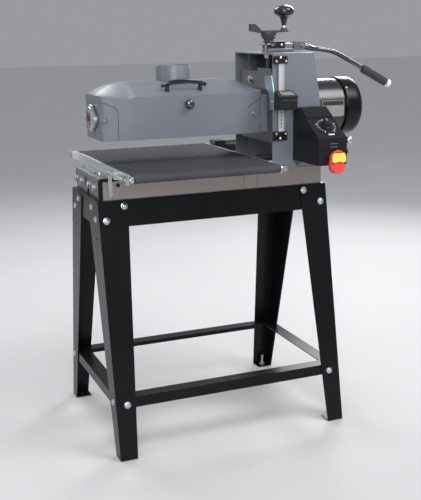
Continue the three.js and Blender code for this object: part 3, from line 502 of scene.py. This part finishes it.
# ---------- base and conveyor ----------
def base():
    # the base's warm tan tint is a painted reflection
    keep("base", BARE_WITH_TAN_REFLECTION, 1.6, 3)
    keep("outboard_table_bracket", MACHINED_IRON, 0.8)
    keep("table_jack_screw", ZINC, 0.5, 1)
    slots, bolts = Form(), Form()
    for y in (-97, -36, 44, 108):
        # thin black sheets in the shape of the slots, laid on the bracket's face: painted shade for the
        # dark inside of the slots
        slots.prism(arc(y, 788, 5, 0, 180, 8) + arc(y, 768, 5, 180, 360, 8), "x", (-361.3, -360.5))
        bolts.hex_bolt((-361.3, y, 776), -X_AXIS, 9.5, 6, 12)
    piece(slots, "bracket_slot_shade", "machine", PRINT_AND_SHADE_BLACK)
    for y in (-90, -34, -12, 86):
        bolts.nut_and_thread((-345, y, 806), Z_AXIS, 8, 4.5, 13)
    piece(bolts, "bracket_bolts", "machine", ZINC)
    seams = Form()
    for x in (-322, 92, 135):
        seams.box((x, x + 1.0), (BASE_FRONT - 0.25, BASE_FRONT + 1), (743, 793))
    seams.lathe([(-0.3, 0), (-0.3, 3.4), (1, 3.4), (1, 0)], (-303, BASE_FRONT, 784), Y_AXIS, 20)
    piece(seams, "base_seams", "machine", PRINT_AND_SHADE_BLACK)
    # black blocks at the base's left front corner: painted shade, standing for the bracket's front edge
    # in the dark
    end = Form().box((-361.3, -348.5), (-138.8, -131), (742, 800))
    end.box((-348.6, -330), (-138.8, -136), (795.5, 801))
    piece(end, "base_end_painted_shade", "machine", BLACK, 0.8)
    strap = Form().prism([(-333, 812), (-333, 757)] + arc(-327, 757, 6, 180, 360, 10) + [(-321, 812)],
                         "y", (-142.5, -140.5))
    piece(strap, "takeup_strap", "machine", ZINC, 0.5)


def conveyor():
    keep("conveyor_bed", ALUMINIUM, 0.6)
    keep("conveyor_belt", BELT, 0.35, 1, 60)
    keep("drive_roller", STEEL, 0.6)
    keep("idler_roller", STEEL, 0.6)
    keep("feed_gearmotor", BLACK_GLOSS, 2.0, 3)
    for side in ("left", "right"):
        keep(f"takeup_block_{side}", ZINC, 1.2)
    for side, x, start in (("left", -325.3, -272.7), ("right", 151.3, -280.7)):
        screw = Form().lathe(threaded(0, -120 - start, 4), (x, start, ROLLER_Z), Y_AXIS, 16)
        for y in (-210, -185, -126):
            screw.lathe([(0, 0), (0, 6.3), (1, 7.2), (6, 7.2), (7, 6.3), (7, 0)], (x, y, ROLLER_Z),
                        Y_AXIS, 6)
        piece(screw, f"takeup_thread_{side}", "machine", ZINC, 0, replaces=[f"takeup_screw_{side}"])
    bushings = Form()
    for y in (-ROLLER_Y, ROLLER_Y):
        for x, out, reach in ((-330.2, -1, 1.6), (156.2 if y < 0 else 157.2, 1, 1.4)):
            collar = [(0, 6.3), (0, 8.6), (reach, 8.2), (reach, 6.3)]
            bushings.lathe(collar, (x, y, ROLLER_Z), (out, 0, 0), 28, ring=True)
    piece(bushings, "roller_bushings", "machine", BRONZE)
    for body, y in (("idler_roll", -ROLLER_Y), ("drive_roll", ROLLER_Y)):
        ends = Form()
        for x, radius, length in ((-314.5, 10.4, 10), (137.6, 9.6, 5)):
            end = [(0, 6.5), (0, radius), (length - 1, radius), (length, radius - 0.8), (length, 6.5)]
            ends.lathe(end, (x, y, ROLLER_Z), X_AXIS, 32, ring=True)
        piece(ends, f"{body}_ends", body, STEEL)


# ---------- column, crank and lever ----------
def column():
    keep("column", GREY, 2.2, 3)
    screw = Form().lathe(threaded(992, 1124, 8, 3.0), (SCREW_X, 0, 0), Z_AXIS, 24)
    screw.lathe([(1124, 0), (1124, 14), (1136.7, 14), (1136.7, 8), (1175, 8), (1175, 0)],
                (SCREW_X, 0, 0), Z_AXIS, 32)
    piece(screw, "screw_thread", "crank", ZINC, replaces=["height_screw"])
    keep("lift_nut", BRONZE, 0.8)
    collar = [(1141.4, 0), (1141.4, 14), (1163, 14), (1164, 25.6), (1165, 26.8), (1168, 26.8),
              (1169, 25.6), (1169, 0)]
    piece(Form().lathe(collar, (SCREW_X, 0, 0), Z_AXIS, 48), "lock_collar", "machine", BOLT_STEEL,
          angle=40, replaces=["lock_block"])
    piece(Form().box((230, 288), (-22, 22), (1152.3, 1174.5)), "lock_clamp", "machine", BLACK_GLOSS,
          2.2, 3)
    piece(Form().box((287, 318), (-15.5, 15.5), (1151.5, 1168)), "lock_spacer", "machine", STEEL, 1.2)
    piece(Form().box((229, 318), (-22, 22), (1141.3, 1151.8)), "lock_foot", "machine", MACHINED_IRON,
          1.4)
    screws = Form()
    for x in (245, 276):
        screws.round_bolt((x, -22, 1163), -Y_AXIS, 4, 3)
    piece(screws, "clamp_screws", "machine", ZINC)
    keep("crank_handle", IRON, 1.2, 3)
    set_screw = Form().lathe([(0, 0), (0, 3), (1.4, 3), (1.4, 0)], (SCREW_X + 12, -20, 1190), -Y_AXIS,
                             12)
    piece(set_screw, "crank_set_screw", "crank", ZINC)
    neck = Form().lathe([(1215.3, 0), (1215.3, 7.5), (1220, 7.5), (1221, 6.8), (1222, 0)],
                        (KNOB_X, 0, 0), Z_AXIS, 32)
    piece(neck, "knob_collar", "crank_grip", ZINC)
    stem = [(1221, 0), (1221, 6.6), (1225, 7.1), (1232, 8.5), (1239, 10.3), (1244, 12.4),
            (1247.5, 15.5), (1250, 20)]
    cap = [(1252, 24.4), (1254.5, 28), (1258, 30.6), (1263, 31.6), (1268, 31.2), (1272, 29.6),
           (1275.5, 26.4), (1278.6, 21.4), (1281, 15), (1282.5, 8), (1283, 0)]
    piece(Form().lathe(stem + cap, (KNOB_X, 0, 0), Z_AXIS, 56), "knob", "crank_grip", PLASTIC_GLOSS,
          angle=50, replaces=["crank_knob"])


def lever():
    keep("lever_clevis", MACHINED_IRON, 1.0)
    cap_screws = Form()
    for y_sign in (-1, 1):
        cap_screws.hex_bolt((352, 16 * y_sign, PIVOT_Z), Y_AXIS * y_sign, 7, 4)
    piece(cap_screws, "clevis_screws", "machine", ZINC)
    eye = [(-7, 0), (-7, 9.5), (-6, 10.5), (6, 10.5), (7, 9.5), (7, 0)]
    rod = Form().lathe(eye, (352, 0, PIVOT_Z), Y_AXIS, 32)
    path = [(356, 0, 1159.2), (366, 0, 1157.2), (380, 0, 1153.4), (395, 0, 1149.6), (397, 0, 1149.2),
            (420, 0, 1146.8), (445, 0, 1143.4), (462, 0, 1140), (475, 0, 1136.2), (488, 0, 1131),
            (505, 0, 1122.8), (540, 0, 1104.2), (583, 0, 1082)]
    rod.tube(path, [7.6, 9.4, 9.2, 8.6, 7.4] + [7.1] * 8, 24)
    piece(rod, "lever_rod", "lock_lever", DARK_CHROME, angle=50, replaces=["lock_lever"])
    keep("lever_grip", RUBBER, 1.5, 3, 50)
    keep("lever_cap", CAP_WHITE, 1.2, 3, 50)
    start, end = Vector((581, 0, 1083)), Vector((672, 0, 1035))
    along = (end - start).normalized()
    ribs = Form()
    for i in range(6):
        ribs.lathe([(14 + i * 13, 13.2), (14 + i * 13, 14.1), (15.5 + i * 13, 14.1),
                    (15.5 + i * 13, 13.2)], start, along, 40, ring=True)
    piece(ribs, "grip_ribs", "lock_lever", RUBBER, 0.3)


# ---------- depth gauge ----------
def gauge():
    face = BASE_FRONT - 0.3
    piece(Form().box((204, 223), (-146, -143), (890, 1125)), "scale_strip", "machine", WHITE, 0.5,
          replaces=["depth_scale"])
    marks = Form()
    for i in range(30):
        z = 1034 + i * 2.6
        reach = 7 if i % 5 == 0 else 4
        marks.box((220.5 - reach, 220.5), (-146.2, -145.8), (z, z + 0.7))
    for i in range(5):
        z = 920 + i * 11
        marks.box((212, 215), (-146.3, -145.8), (z, z + 5.5))
    piece(marks, "scale_marks", "machine", PRINT_AND_SHADE_BLACK)
    brackets, screws, middle = Form(), Form(), Form()
    for low, high, bar, centre in ((1111, 1133, 1118, 1128), (882, 910, 903, 889)):
        brackets.box((187, 233), (-146.8, face), (low, high))
        brackets.box((188, 232), (-150, -146), (bar - 7, bar + 5))
        for x in (194, 226):
            screws.round_bolt((x, -150, bar), -Y_AXIS, 3.6, 2.4)
        middle.round_bolt((210, -146.8, centre), -Y_AXIS, 4, 3)
    piece(brackets, "scale_brackets", "machine", PLASTIC, 1.0)
    piece(screws, "scale_screws", "machine", BRASS)
    piece(middle, "scale_middle_screws", "machine", STEEL)

    outline = [(-147, 977), (-188, 977), (-188, 1013), (-152, 1029), (-147, 1029)]
    piece(Form().prism(outline, "x", (186, 246)), "readout_case", "head", PLASTIC, 1.4, 3,
          replaces=["depth_readout"])
    lid = [(-147, 1028), (-152, 1028), (-189.8, 1011.8), (-189.8, 1016.8), (-153, 1032), (-147, 1032)]
    piece(Form().prism(lid, "x", (185.3, 247)), "readout_lid", "head", PLASTIC, 0.7)
    turn = Matrix.Rotation(math.atan2(15.2, 36.8), 3, "X")    # the slope of the lid's top
    at = Vector((216, -171.4, 1024.4))
    bezel = Form().box((196, 242), (-185, -157), (1023.6, 1024.8), turn, at)
    piece(bezel, "readout_bezel", "head", PLASTIC_GLOSS, 0.4)
    display = Form().box((207, 240), (-182, -161), (1024, 1025.3), turn, at)
    piece(display, "readout_display", "head", GLASS, 0.4)
    buttons = Form()
    for y in (-180, -171, -162):
        buttons.box((198, 205), (y - 2.6, y + 2.6), (1024, 1026), turn, at)
    piece(buttons, "readout_buttons", "head", BRASS, 0.6)
    panel = Form().box((192, 241), (-189, -187.5), (983, 1006))
    piece(panel, "readout_front", "head", PLASTIC_GLOSS, 0.6)
    keep("readout_bracket", PALE_ZINC, 0.5)
    bolt = Form().round_bolt((182, -146, 1000), -X_AXIS, 4.4, 3)
    piece(bolt, "readout_screw", "head", STEEL)


# ---------- sanding head ----------
CREST_Z, EDGE_Z, END_Z = 1066, 1027, 1032
CREST_Y = (-10, 45)
KINKS = (-248, 97)
HALF_Y, END_HALF_Y = 100, 85
CREASES = ((-227, -230), (72, 78))    # at the crest and at the front edge
CREASE_BEND = 0.8                     # how far a crease bows, as a share of its own run
KINK_DIP = 4.2                        # how much lower the roof's edge is at a kink
HIP_BOW = 0.8                         # how round the crest falls to the end; 0 is straight
HIP_STRAIGHT = 0.25                   # the share of that fall that is straight
CORNER = 8                            # the radius of the cover's upright corners


def half_width(x):
    """How far out the front and rear panels are: they angle in past the kinks."""
    past = max(KINKS[0] - x, x - KINKS[1], 0)
    return HALF_Y - past / (KINKS[0] - HEAD_LEFT) * (HALF_Y - END_HALF_Y)


def crease(side, down):
    """Where the crease between the long slope and the hip is, at a share of the way down."""
    top, foot = CREASES[side]
    return top + (foot - top) * down + (top - foot) * CREASE_BEND * down * (1 - down)


def roof(x, down):
    """The height of the roof at x, at a share of the way down from the crest to the front edge."""
    level = CREST_Z + (EDGE_Z - CREST_Z) * down
    side = 0 if x < 0 else 1
    end = (HEAD_LEFT, HEAD_RIGHT)[side]
    start = crease(side, down)
    share = (x - start) / (end - start)
    if share <= 0:
        return level
    bow = (1 - math.sqrt(1 - HIP_BOW * share * share)) / (1 - math.sqrt(1 - HIP_BOW))
    crest = CREST_Z - (CREST_Z - END_Z) * (HIP_STRAIGHT * share + (1 - HIP_STRAIGHT) * bow)
    kink = (KINKS[side] - start) / (end - start)
    if share < kink:
        edge = EDGE_Z - KINK_DIP * share / kink
    else:
        edge = EDGE_Z - KINK_DIP + (END_Z - EDGE_Z + KINK_DIP) * (share - kink) / (1 - kink)
    return crest + (edge - crest) * down


def cover_shell():
    """The cover's outside as a grid: each row goes up the front, over the roof and down the rear."""
    ends = [0, 1, 3, 6, 10] + [15 + i * 7.5 for i in range(9)]
    left = [HEAD_LEFT + d for d in ends] + [KINKS[0], -240]
    right = [HEAD_RIGHT - d for d in ends[:-1]] + [KINKS[1], 88]
    # a station is a fixed x, or the number of the crease that its row follows
    stations = [(x, None) for x in left] + [(None, 0)] + [(x, None) for x in (-180, -130, -80, -30, 20)]
    stations += [(None, 1)] + [(x, None) for x in sorted(right)]
    shares = [i / 8 for i in range(9)]
    verts, rows = [], []
    for x_fixed, side in stations:
        at_edge = x_fixed if side is None else crease(side, 1)
        near = min(at_edge - HEAD_LEFT, HEAD_RIGHT - at_edge)
        pull = CORNER - math.sqrt(CORNER ** 2 - (CORNER - near) ** 2) if near < CORNER else 0
        halves = []
        for y_sign, start_y in ((-1, CREST_Y[0]), (1, CREST_Y[1])):
            half = []
            for down in shares:
                x = x_fixed if side is None else crease(side, down)
                reach = half_width(x) - pull
                half.append((x, start_y + (y_sign * reach - start_y) * down, roof(x, down)))
            x, y = half[-1][:2]
            halves.append(half + [(x, y, z) for z in (1010, 980, 940, 904)])
        front, rear = halves
        flat_top = [(rear[0][0], y, rear[0][2]) for y in (8, 27)]
        row = front[::-1] + flat_top + rear
        rows.append([len(verts) + i for i in range(len(row))])
        verts += row
    faces = []
    for a, b in zip(rows, rows[1:]):
        faces += [(a[i], b[i], b[i + 1], a[i + 1]) for i in range(len(a) - 1)]
    return Form().add(verts, faces + [rows[0], rows[-1][::-1]])


def mark_creases(mesh):
    """Sharp edges along the creases between the long slopes and the hips."""
    def on_crease(v):
        p = (v - CENTRE) * 1000
        if CREST_Y[0] <= p.y <= CREST_Y[1] or p.z < EDGE_Z - 1:
            return None
        start = CREST_Y[0] if p.y < 0 else CREST_Y[1]
        down = (p.y - start) / ((-HALF_Y if p.y < 0 else HALF_Y) - start)
        near = [side for side in (0, 1) if abs(p.x - crease(side, down)) < 0.3]
        return near[0] if near else None

    sharp = mesh.attributes.get("sharp_edge") or mesh.attributes.new("sharp_edge", "BOOLEAN", "EDGE")
    marks = []
    for edge in mesh.edges:
        sides = [on_crease(mesh.vertices[i].co) for i in edge.vertices]
        marks.append(sides[0] is not None and sides[0] == sides[1])
    sharp.data.foreach_set("value", marks)


def cover():
    shell = new_object(cover_shell(), "cover")
    shell.data.materials.append(GREY)
    thick = shell.modifiers.new("sheet", "SOLIDIFY")
    thick.thickness = 0.0025
    thick.offset = -1
    left = [(-400, 880), (-281.5, 880), (-281.5, 984), (-282.6, 991), (-285.6, 996), (-290, 999.8),
            (-328.4, 1016.2), (-328.4, 1010), (-400, 1010)]
    right = [(250, 880), (128, 880), (128, 980), (129.4, 985), (132, 988.4), (136, 990.6),
             (179, 1010.2), (250, 1010.2)]
    tools = Form().prism(left, "y", (-150, 150)).prism(right, "y", (-150, 150))
    tools.lathe([(1000, 0), (1000, 52.8), (1080, 52.8), (1080, 0)], (-72, 15, 0), Z_AXIS, 64)
    tools.lathe([(-120, 0), (-120, 4.6), (-80, 4.6), (-80, 0)], (LATCH[0], 0, LATCH[1]), Y_AXIS, 24)
    for x0, x1 in ((-228, -212), (-20, 0), (50, 66)):
        tools.box((x0 - 1, x1 + 0.5), (90, 120), (895, 930))
    carve(shell, tools)
    mark_creases(shell.data)
    soften(shell, 0.8, 2, 20)
    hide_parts("dust_cover")
    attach(shell, "cover")

    knuckles = Form()
    barrel = [(0, 3.4), (0, 7), (0.5, 7.5), (19.5, 7.5), (20, 7), (20, 3.4)]
    for x in (-211, 1, 67):
        knuckles.lathe(barrel, (x, 106, 914), X_AXIS, 24, ring=True)
        knuckles.box((x + 0.5, x + 19.5), (97.5, 101), (907, 921))
    piece(knuckles, "cover_knuckles", "cover", GREY)

    port = [(1049, 50.5), (1049, 52.5), (1109, 52.5), (1110, 52), (1110, 51), (1109, 50.5)]
    piece(Form().lathe(port, (-72, 15, 0), Z_AXIS, 96, ring=True), "port_tube", "cover", GREY, angle=40,
          replaces=["dust_port"])

    slope = math.atan2(CREST_Z - EDGE_Z, HALF_Y + CREST_Y[0])
    turn = Matrix.Rotation(slope, 3, "X")
    foot = Vector((-72, -70, EDGE_Z + 30 * math.tan(slope)))
    bow = Form()
    path = [(-68, 12), (-66.5, 15.5), (-62, 19.2), (-53, 23), (-36, 26.6), (-18, 28.4), (0, 29)]
    path += [(-x, z) for x, z in path[-2::-1]]
    taper = [(2.0, 4.6), (2.9, 5.6), (3.3, 6.4)]
    sizes = taper + [(3.5, 6.8)] * (len(path) - 2 * len(taper)) + taper[::-1]
    bow.tube([foot + turn @ Vector((x, 0, z)) for x, z in path], sizes, 20)
    for x in (-52, 52):
        post = [(0.4, 0), (0.4, 8.5), (3, 7.2), (8, 6), (24, 6.4), (24, 0)]
        bow.lathe(post, foot + turn @ Vector((x, 0, 0)), turn @ Z_AXIS, 24)
    piece(bow, "handle_bow", "cover", PLASTIC_GLOSS, angle=50, replaces=["cover_handle"])

    face = -HALF_Y - 0.3
    at = (LATCH[0], 0, LATCH[1])
    stem = Form().lathe([(-face - 34, 0), (-face - 34, 4), (-face, 4), (-face, 0)], at, -Y_AXIS, 24)
    piece(stem, "latch_stem", "latch", STEEL)
    knob = [(-face, 0), (-face, 12), (-face + 2, 13.5), (-face + 11, 13.5), (-face + 15, 12),
            (-face + 17.4, 8.5), (-face + 18, 0)]
    piece(Form().lathe(knob, at, -Y_AXIS, 40), "latch_knob", "latch", DARK_CHROME, angle=40,
          replaces=["cover_latch_knob"])
    dot = Form().lathe([(-face - 1, 0), (-face - 1, 2), (-face + 0.8, 2), (-face + 1.3, 0)],
                       (LATCH[0] - 30, 0, LATCH[1] + 2), -Y_AXIS, 12)
    piece(dot, "cover_rivet", "cover", STEEL)


def head():
    keep("head_frame", GREY, 0.9)
    keep("latch_catch", ZINC, 0.5)
    keep("head_carriage", MACHINED_IRON, 1.2)
    outline = arc(0, 0, 40, 60, 120, 10) + arc(-45, 0, 13, 120, 240, 10) + arc(0, 0, 40, 240, 300, 10)
    outline += arc(45, 0, 13, -60, 60, 10)
    flange = Form().prism([(y, DRUM_Z + z) for y, z in outline], "x", (-341, -341 + 9.7))
    piece(flange, "outboard_flange", "head", ZINC, 1.5, 3, replaces=["outboard_bearing"])
    axis = (0, 0, DRUM_Z)
    hub = Form().lathe([(341, 12), (341, 34), (344, 32), (344, 12)], axis, -X_AXIS, 48, ring=True)
    piece(hub, "outboard_hub", "head", ZINC, 0.5)
    lip = [(343.5, 26), (343.5, 30.5), (344.7, 30), (344.7, 26.5)]
    seal = Form().lathe(lip, axis, -X_AXIS, 48, ring=True)
    piece(seal, "outboard_seal", "head", SEAL)
    race = Form().lathe([(343.5, 13), (343.5, 22), (345.2, 21), (345.2, 13)], axis, -X_AXIS, 48,
                        ring=True)
    piece(race, "outboard_race", "head", MACHINED_IRON, 0.3)
    bolts = Form()
    for y in (-45, 45):
        bolts.hex_bolt((-341, y, DRUM_Z), -X_AXIS, 8, 6, 10)
    frame_bolts = Form()
    for x, y in ((-317, -86.5), (148, -89.5)):
        frame_bolts.hex_bolt((x, y, 963), -Y_AXIS, 6.5, 4.5, 9.5)
        frame_bolts.hex_bolt((x, -y, 963), Y_AXIS, 6.5, 4.5, 9.5)
    piece(frame_bolts, "frame_bolts", "head", BOLT_STEEL)
    for x in (-306, 140):
        bolts.hex_bolt((x, -69, 904), -Z_AXIS, 6, 2.5)
    bolts.hex_bolt((199, 43, 1058), -X_AXIS, 9, 6, 13)
    bolts.hex_bolt((199, -86, 1050), -X_AXIS, 9, 6, 13)
    piece(bolts, "head_bolts", "head", ZINC)
    keep("inboard_bearing", ZINC, 0.8)
    keep("drum", DRUM, 0.4, 1, 60)
    keep("drum_shaft", STEEL, 0.8, 2, 60)
    keep("shaft_coupling", MACHINED_IRON, 1.0, 2, 60)
    end_cap = Form().lathe([(345, 0), (345, 10.6), (346, 9.6), (346, 0)], axis, -X_AXIS, 32)
    piece(end_cap, "shaft_end_cap", "drum", PLASTIC)
    for end in ("infeed", "outfeed"):
        keep(f"{end}_roller", RUBBER, 0.8, 2, 60)
        keep(f"{end}_roller_yoke", ZINC, 0.6)


# ---------- motor ----------
def motor():
    axis = (0, 0, DRUM_Z)
    shell = [(308.3, 0), (308.3, 66), (310, 70), (318, 74), (320, 82), (323, 87), (328, 89), (469, 89),
             (469, 84), (475, 84), (475, 76), (336, 76), (336, 0)]
    piece(Form().lathe(shell, axis, X_AXIS, 96), "motor_shell", "head", BLACK_GLOSS, 0.5, 2, 25,
          replaces=["motor_body"])
    outer = [(475.3, 90.5), (475.3, 92), (477, 93), (512, 93), (520, 92), (526.5, 89.5), (532, 85.5),
             (536, 80), (538.6, 73), (539.7, 66), (540, 58), (540, 0), (537.5, 0), (537.5, 60),
             (535, 74), (528, 84), (518, 89.5), (510, 90.5)]
    fan = Form().lathe(outer + [(475.3, 90.5)], axis, X_AXIS, 96)
    obj = new_object(fan, "fan_cover")
    obj.data.materials.append(BLACK)
    slots = Form()
    for ring_radius, count in ((24, 8), (40, 14), (56, 20)):
        for i in range(count):
            a = 2 * math.pi * i / count
            spot = Vector((0, ring_radius * math.cos(a), DRUM_Z + ring_radius * math.sin(a)))
            slots.lathe([(530, 0), (530, 4.6), (546, 4.6), (546, 0)], spot, X_AXIS, 12)
    carve(obj, slots)
    soften(obj, 0.0, 1, 30)
    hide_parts("motor_fan_cover")
    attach(obj, "head")

    screws = Form()
    for degrees in (48, 168, 288):
        a = math.radians(degrees)
        out = Vector((0, -math.sin(a), math.cos(a)))
        screws.round_bolt(Vector((483, 0, DRUM_Z)) + out * 92.8, out, 3.6, 2.4)
    piece(screws, "fan_cover_screws", "head", ZINC)

    def patch(x, angles, lift, name, material):
        """A thin curved label on the front of the motor's shell; angles are above the axis."""
        steps = 12
        verts, faces = [], []
        for radius in (89.05, 89.05 + lift):
            for xx in x:
                for i in range(steps + 1):
                    a = math.radians(angles[0] + (angles[1] - angles[0]) * i / steps)
                    verts.append((xx, -radius * math.cos(a), DRUM_Z + radius * math.sin(a)))
        # the first point of each row: the inner face's left and right edges, then the outer face's
        in_left, in_right, out_left, out_right = (row * (steps + 1) for row in range(4))
        for i in range(steps):
            j = i + 1
            faces += [
                (in_left + i, in_left + j, in_right + j, in_right + i),
                (out_left + i, out_right + i, out_right + j, out_left + j),
                (in_left + i, out_left + i, out_left + j, in_left + j),
                (in_right + i, in_right + j, out_right + j, out_right + i),
            ]
        faces.append((in_left, in_right, out_right, out_left))
        faces.append((in_left + steps, out_left + steps, out_right + steps, in_right + steps))
        piece(Form().add(verts, faces), name, "head", material, angle=40)

    patch((386, 464), (-16.5, 16.5), 0.5, "data_plate", CREAM)
    patch((388, 462), (6.5, 15.5), 0.8, "data_plate_header", PRINT_AND_SHADE_BLACK)


# ---------- control box ----------
def on_slope(along, across, lift=0.0):
    """A point on the box's sloping top: along it from its foot, across it from the dial's middle."""
    direction = (SLOPE_TOP - SLOPE_FOOT).normalized()
    normal = Vector((0, -direction.z, direction.y))
    return SLOPE_FOOT + direction * along + X_AXIS * across + normal * lift


def slope_box(form, along, across, lift):
    """Adds a block on the sloping top to the form."""
    corners = [on_slope(a, c, h) for c in across for a in along for h in lift]
    form.add(corners, BLOCK_FACES)


def controls():
    keep("control_box", BOX_BLACK, 2.6, 3)
    normal = (on_slope(0, 0, 1) - on_slope(0, 0, 0)).normalized()
    direction = (SLOPE_TOP - SLOPE_FOOT).normalized()
    dial = 50 / direction.y    # how far up the slope the dial's middle is

    plate = Form()
    slope_box(plate, (100, 151), (-48, 42), (0, 3.0))
    for i in range(7):
        slope_box(plate, (104 + i * 6.5, 107.6 + i * 6.5), (-45, 39), (2.5, 4.6))
    piece(plate, "box_ribbed_plate", "machine", PLASTIC, 0.8)

    ring = Form().lathe([(0, 18.5), (0, 24), (0.5, 24), (0.5, 18.5)], on_slope(dial, 0, 0), normal, 48,
                        ring=True)
    piece(ring, "dial_plate", "machine", PLASTIC_GLOSS)
    ticks = Form()
    for i in range(21):
        a = math.radians(-60 + 300 * i / 20)
        out = Vector((math.cos(a), 0, 0)) + direction * math.sin(a)
        side = normal.cross(out)
        inner, outer, half = (25, 34, 1.0) if i % 5 == 0 else (25, 30, 0.7)
        ticks.add([
            on_slope(dial, 0, 0) + out * r + side * s + normal * h
            for r in (inner, outer) for s in (-half, half) for h in (0, 0.35)
        ], BLOCK_FACES)
    slope_box(ticks, (15, 21), (-11, 9), (0, 0.4))
    piece(ticks, "dial_marks", "machine", PRINT_WHITE)

    knob = [(-6, 0), (-6, 3), (0.6, 3), (0.6, 16.2), (1.6, 17), (3.4, 16.6), (5, 14.2), (16, 12.4),
            (17.6, 11.4), (18, 9), (18, 0)]
    piece(Form().lathe(knob, on_slope(dial, 0, 0), normal, 40), "dial_knob", "speed_dial", PLASTIC,
          angle=40, replaces=["speed_knob"])
    pointer = Form()
    slope_box(pointer, (dial + 2, dial + 13.4), (-0.9, 0.9), (12, 18.3))
    piece(pointer, "dial_pointer", "speed_dial", PRINT_WHITE)

    lines = Form()
    for z in (883, 874):
        lines.box((294.5, 319.5), (-301.3, -300.8), (z, z + 1.5))
    piece(lines, "box_lines", "machine", STEEL)
    rim = Form().prism([(-288, 824), (-288, 896), (-299, 896), (-299, 824)], "x", (350, 352))
    piece(rim, "box_side_flange", "machine", BOX_BLACK, 0.8)
    thumb = Form().lathe([(0, 0), (0, 5), (6, 5), (6, 9), (8, 10), (18, 10), (20, 9), (20, 0)],
                         (350, -291, 891), X_AXIS, 28)
    piece(thumb, "box_thumb_nut", "machine", ZINC)
    keep("reset_button", PLASTIC, 0.6, 2, 50)
    collar = Form().lathe([(350, 8.5), (350, 11), (352.6, 10.4), (352.6, 8.5)], (0, -290, 858), X_AXIS,
                          32, ring=True)
    piece(collar, "reset_collar", "machine", PLASTIC)
    bolts = Form().round_bolt((268, -286, 821), -Z_AXIS, 5, 4)
    bolts.round_bolt((285, -158, 812.5), (0, -0.45, -0.9), 5, 4)
    piece(bolts, "box_bolts", "machine", ZINC)

    middle = 312    # of the paddle and its key, in X
    outline = arc(middle, 842, 21.5, 0, 180, 20) + arc(middle, 821, 25, 180, 360, 20)
    body = Form().prism(outline, "y", (-314, -301.8))
    piece(body, "paddle_body", "paddle", RED, 3.0, 4, replaces=["switch_paddle"])
    outline = arc(middle, 821, 24.6, 180, 360, 20)
    outline += [(middle + x, z) for x, z in ((24.6, 825), (12, 829), (-12, 829), (-24.6, 825))]
    piece(Form().prism(outline, "y", (-321.8, -312)), "paddle_bulge", "paddle", RED, 6.0, 5)
    outline = arc(middle, 842, 24.5, 48, 132, 12) + arc(middle, 842, 20.6, 132, 48, 12)
    crown = Form().prism(outline, "y", (-319, -312))
    piece(crown, "paddle_crown", "paddle", RED, 2.0, 3)
    top = [
        (-22.8, 833), (-14, 829.5), (0, 833), (14, 829.5), (22.8, 833), (22.9, 845), (20.5, 853),
        (16.8, 860), (8, 857), (-8, 857), (-16.8, 860), (-20.5, 853), (-22.9, 845),
    ]
    key = Form().prism([(middle + x, z) for x, z in top], "y", (-326, -319.2))
    piece(key, "key_cap", "key", YELLOW, 2.4, 4, replaces=["safety_key"])
    stem = Form().box((middle - 13.6, middle + 13.6), (-320, -314.3), (833.4, 857.4))
    piece(stem, "key_stem", "key", YELLOW, 1.0)


# ---------- studio ----------
def camera():
    azimuth, elevation, roll = (math.radians(v) for v in (-22.23, 13.75, -0.81))
    level = math.cos(elevation)
    back = Vector((math.sin(azimuth) * level, -math.cos(azimuth) * level, math.sin(elevation)))
    right = Vector((math.cos(azimuth), math.sin(azimuth), 0))
    up = back.cross(right)
    across = right * math.cos(roll) + up * math.sin(roll)
    upwards = up * math.cos(roll) - right * math.sin(roll)
    data = bpy.data.cameras.new("camera")
    data.sensor_width = 36
    data.lens = 64.95
    obj = bpy.data.objects.new("camera", data)
    bpy.context.scene.collection.objects.link(obj)
    turn = Matrix((across, upwards, back)).transposed().to_4x4()
    obj.matrix_world = Matrix.Translation(place((-1025.2, -2596.2, 1213.2))) @ turn
    bpy.context.scene.camera = obj


def hang(data, at, aim):
    """A light at a point in metres, turned to face another."""
    obj = bpy.data.objects.new(data.name, data)
    bpy.context.scene.collection.objects.link(obj)
    obj.location = Vector(at)
    obj.rotation_mode = "QUATERNION"
    obj.rotation_quaternion = (Vector(at) - Vector(aim)).to_track_quat("Z", "Y")


def softbox(name, at, aim, size, power):
    """A rectangular light, with its size and its two points in metres."""
    data = bpy.data.lights.new(name, "AREA")
    data.shape = "RECTANGLE"
    data.size, data.size_y = size
    data.energy = power
    hang(data, at, aim)


def studio():
    floor_mesh = bpy.data.meshes.new("floor")
    reach, level = 30, -0.001
    corners = [(x * reach, y * reach, level) for x, y in ((-1, -1), (1, -1), (1, 1), (-1, 1))]
    floor_mesh.from_pydata(corners, [], [(0, 1, 2, 3)])
    floor = bpy.data.objects.new("floor", floor_mesh)
    bpy.context.scene.collection.objects.link(floor)
    floor_mesh.materials.append(
        finish("floor", (0.57, 0.57, 0.58), 0.7, vary=0.02, cloud=1.0, grain=80.0, depth=0.01))
    world = bpy.data.worlds.new("world")
    bpy.context.scene.world = world
    world.use_nodes = True
    background = world.node_tree.nodes["Background"]
    background.inputs["Color"].default_value = (0.80, 0.82, 0.86, 1)
    background.inputs["Strength"].default_value = 0.40
    for name, at, aim, size, power in (
        ("front", (-1.4, -4.2, 2.4), (0, 0, 0.9), (2.4, 2.0), 96),
        ("back_left", (-0.8, 2.4, 3.1), (-0.28, 0, 1.05), (1.9, 1.5), 52),
        ("back_right", (2.0, 2.3, 2.0), (0.10, 0, 1.03), (1.2, 0.9), 50),
        ("right", (1.6, -1.7, 3.3), (0.1, 0, 1.0), (1.5, 1.6), 70),
        ("left", (-3.2, 0.2, 1.6), (0, 0, 0.8), (1.2, 1.6), 8),
    ):
        softbox(name, at, aim, size, power)
    sky = bpy.data.lights.new("sky", "SUN")
    sky.energy = 0.5
    sky.angle = 1.0
    hang(sky, (-0.25, -0.35, 1), (0, 0, 0))
    bpy.context.scene.view_settings.view_transform = "Standard"


stand()
base()
conveyor()
column()
lever()
gauge()
cover()
head()
motor()
controls()
camera()
studio()
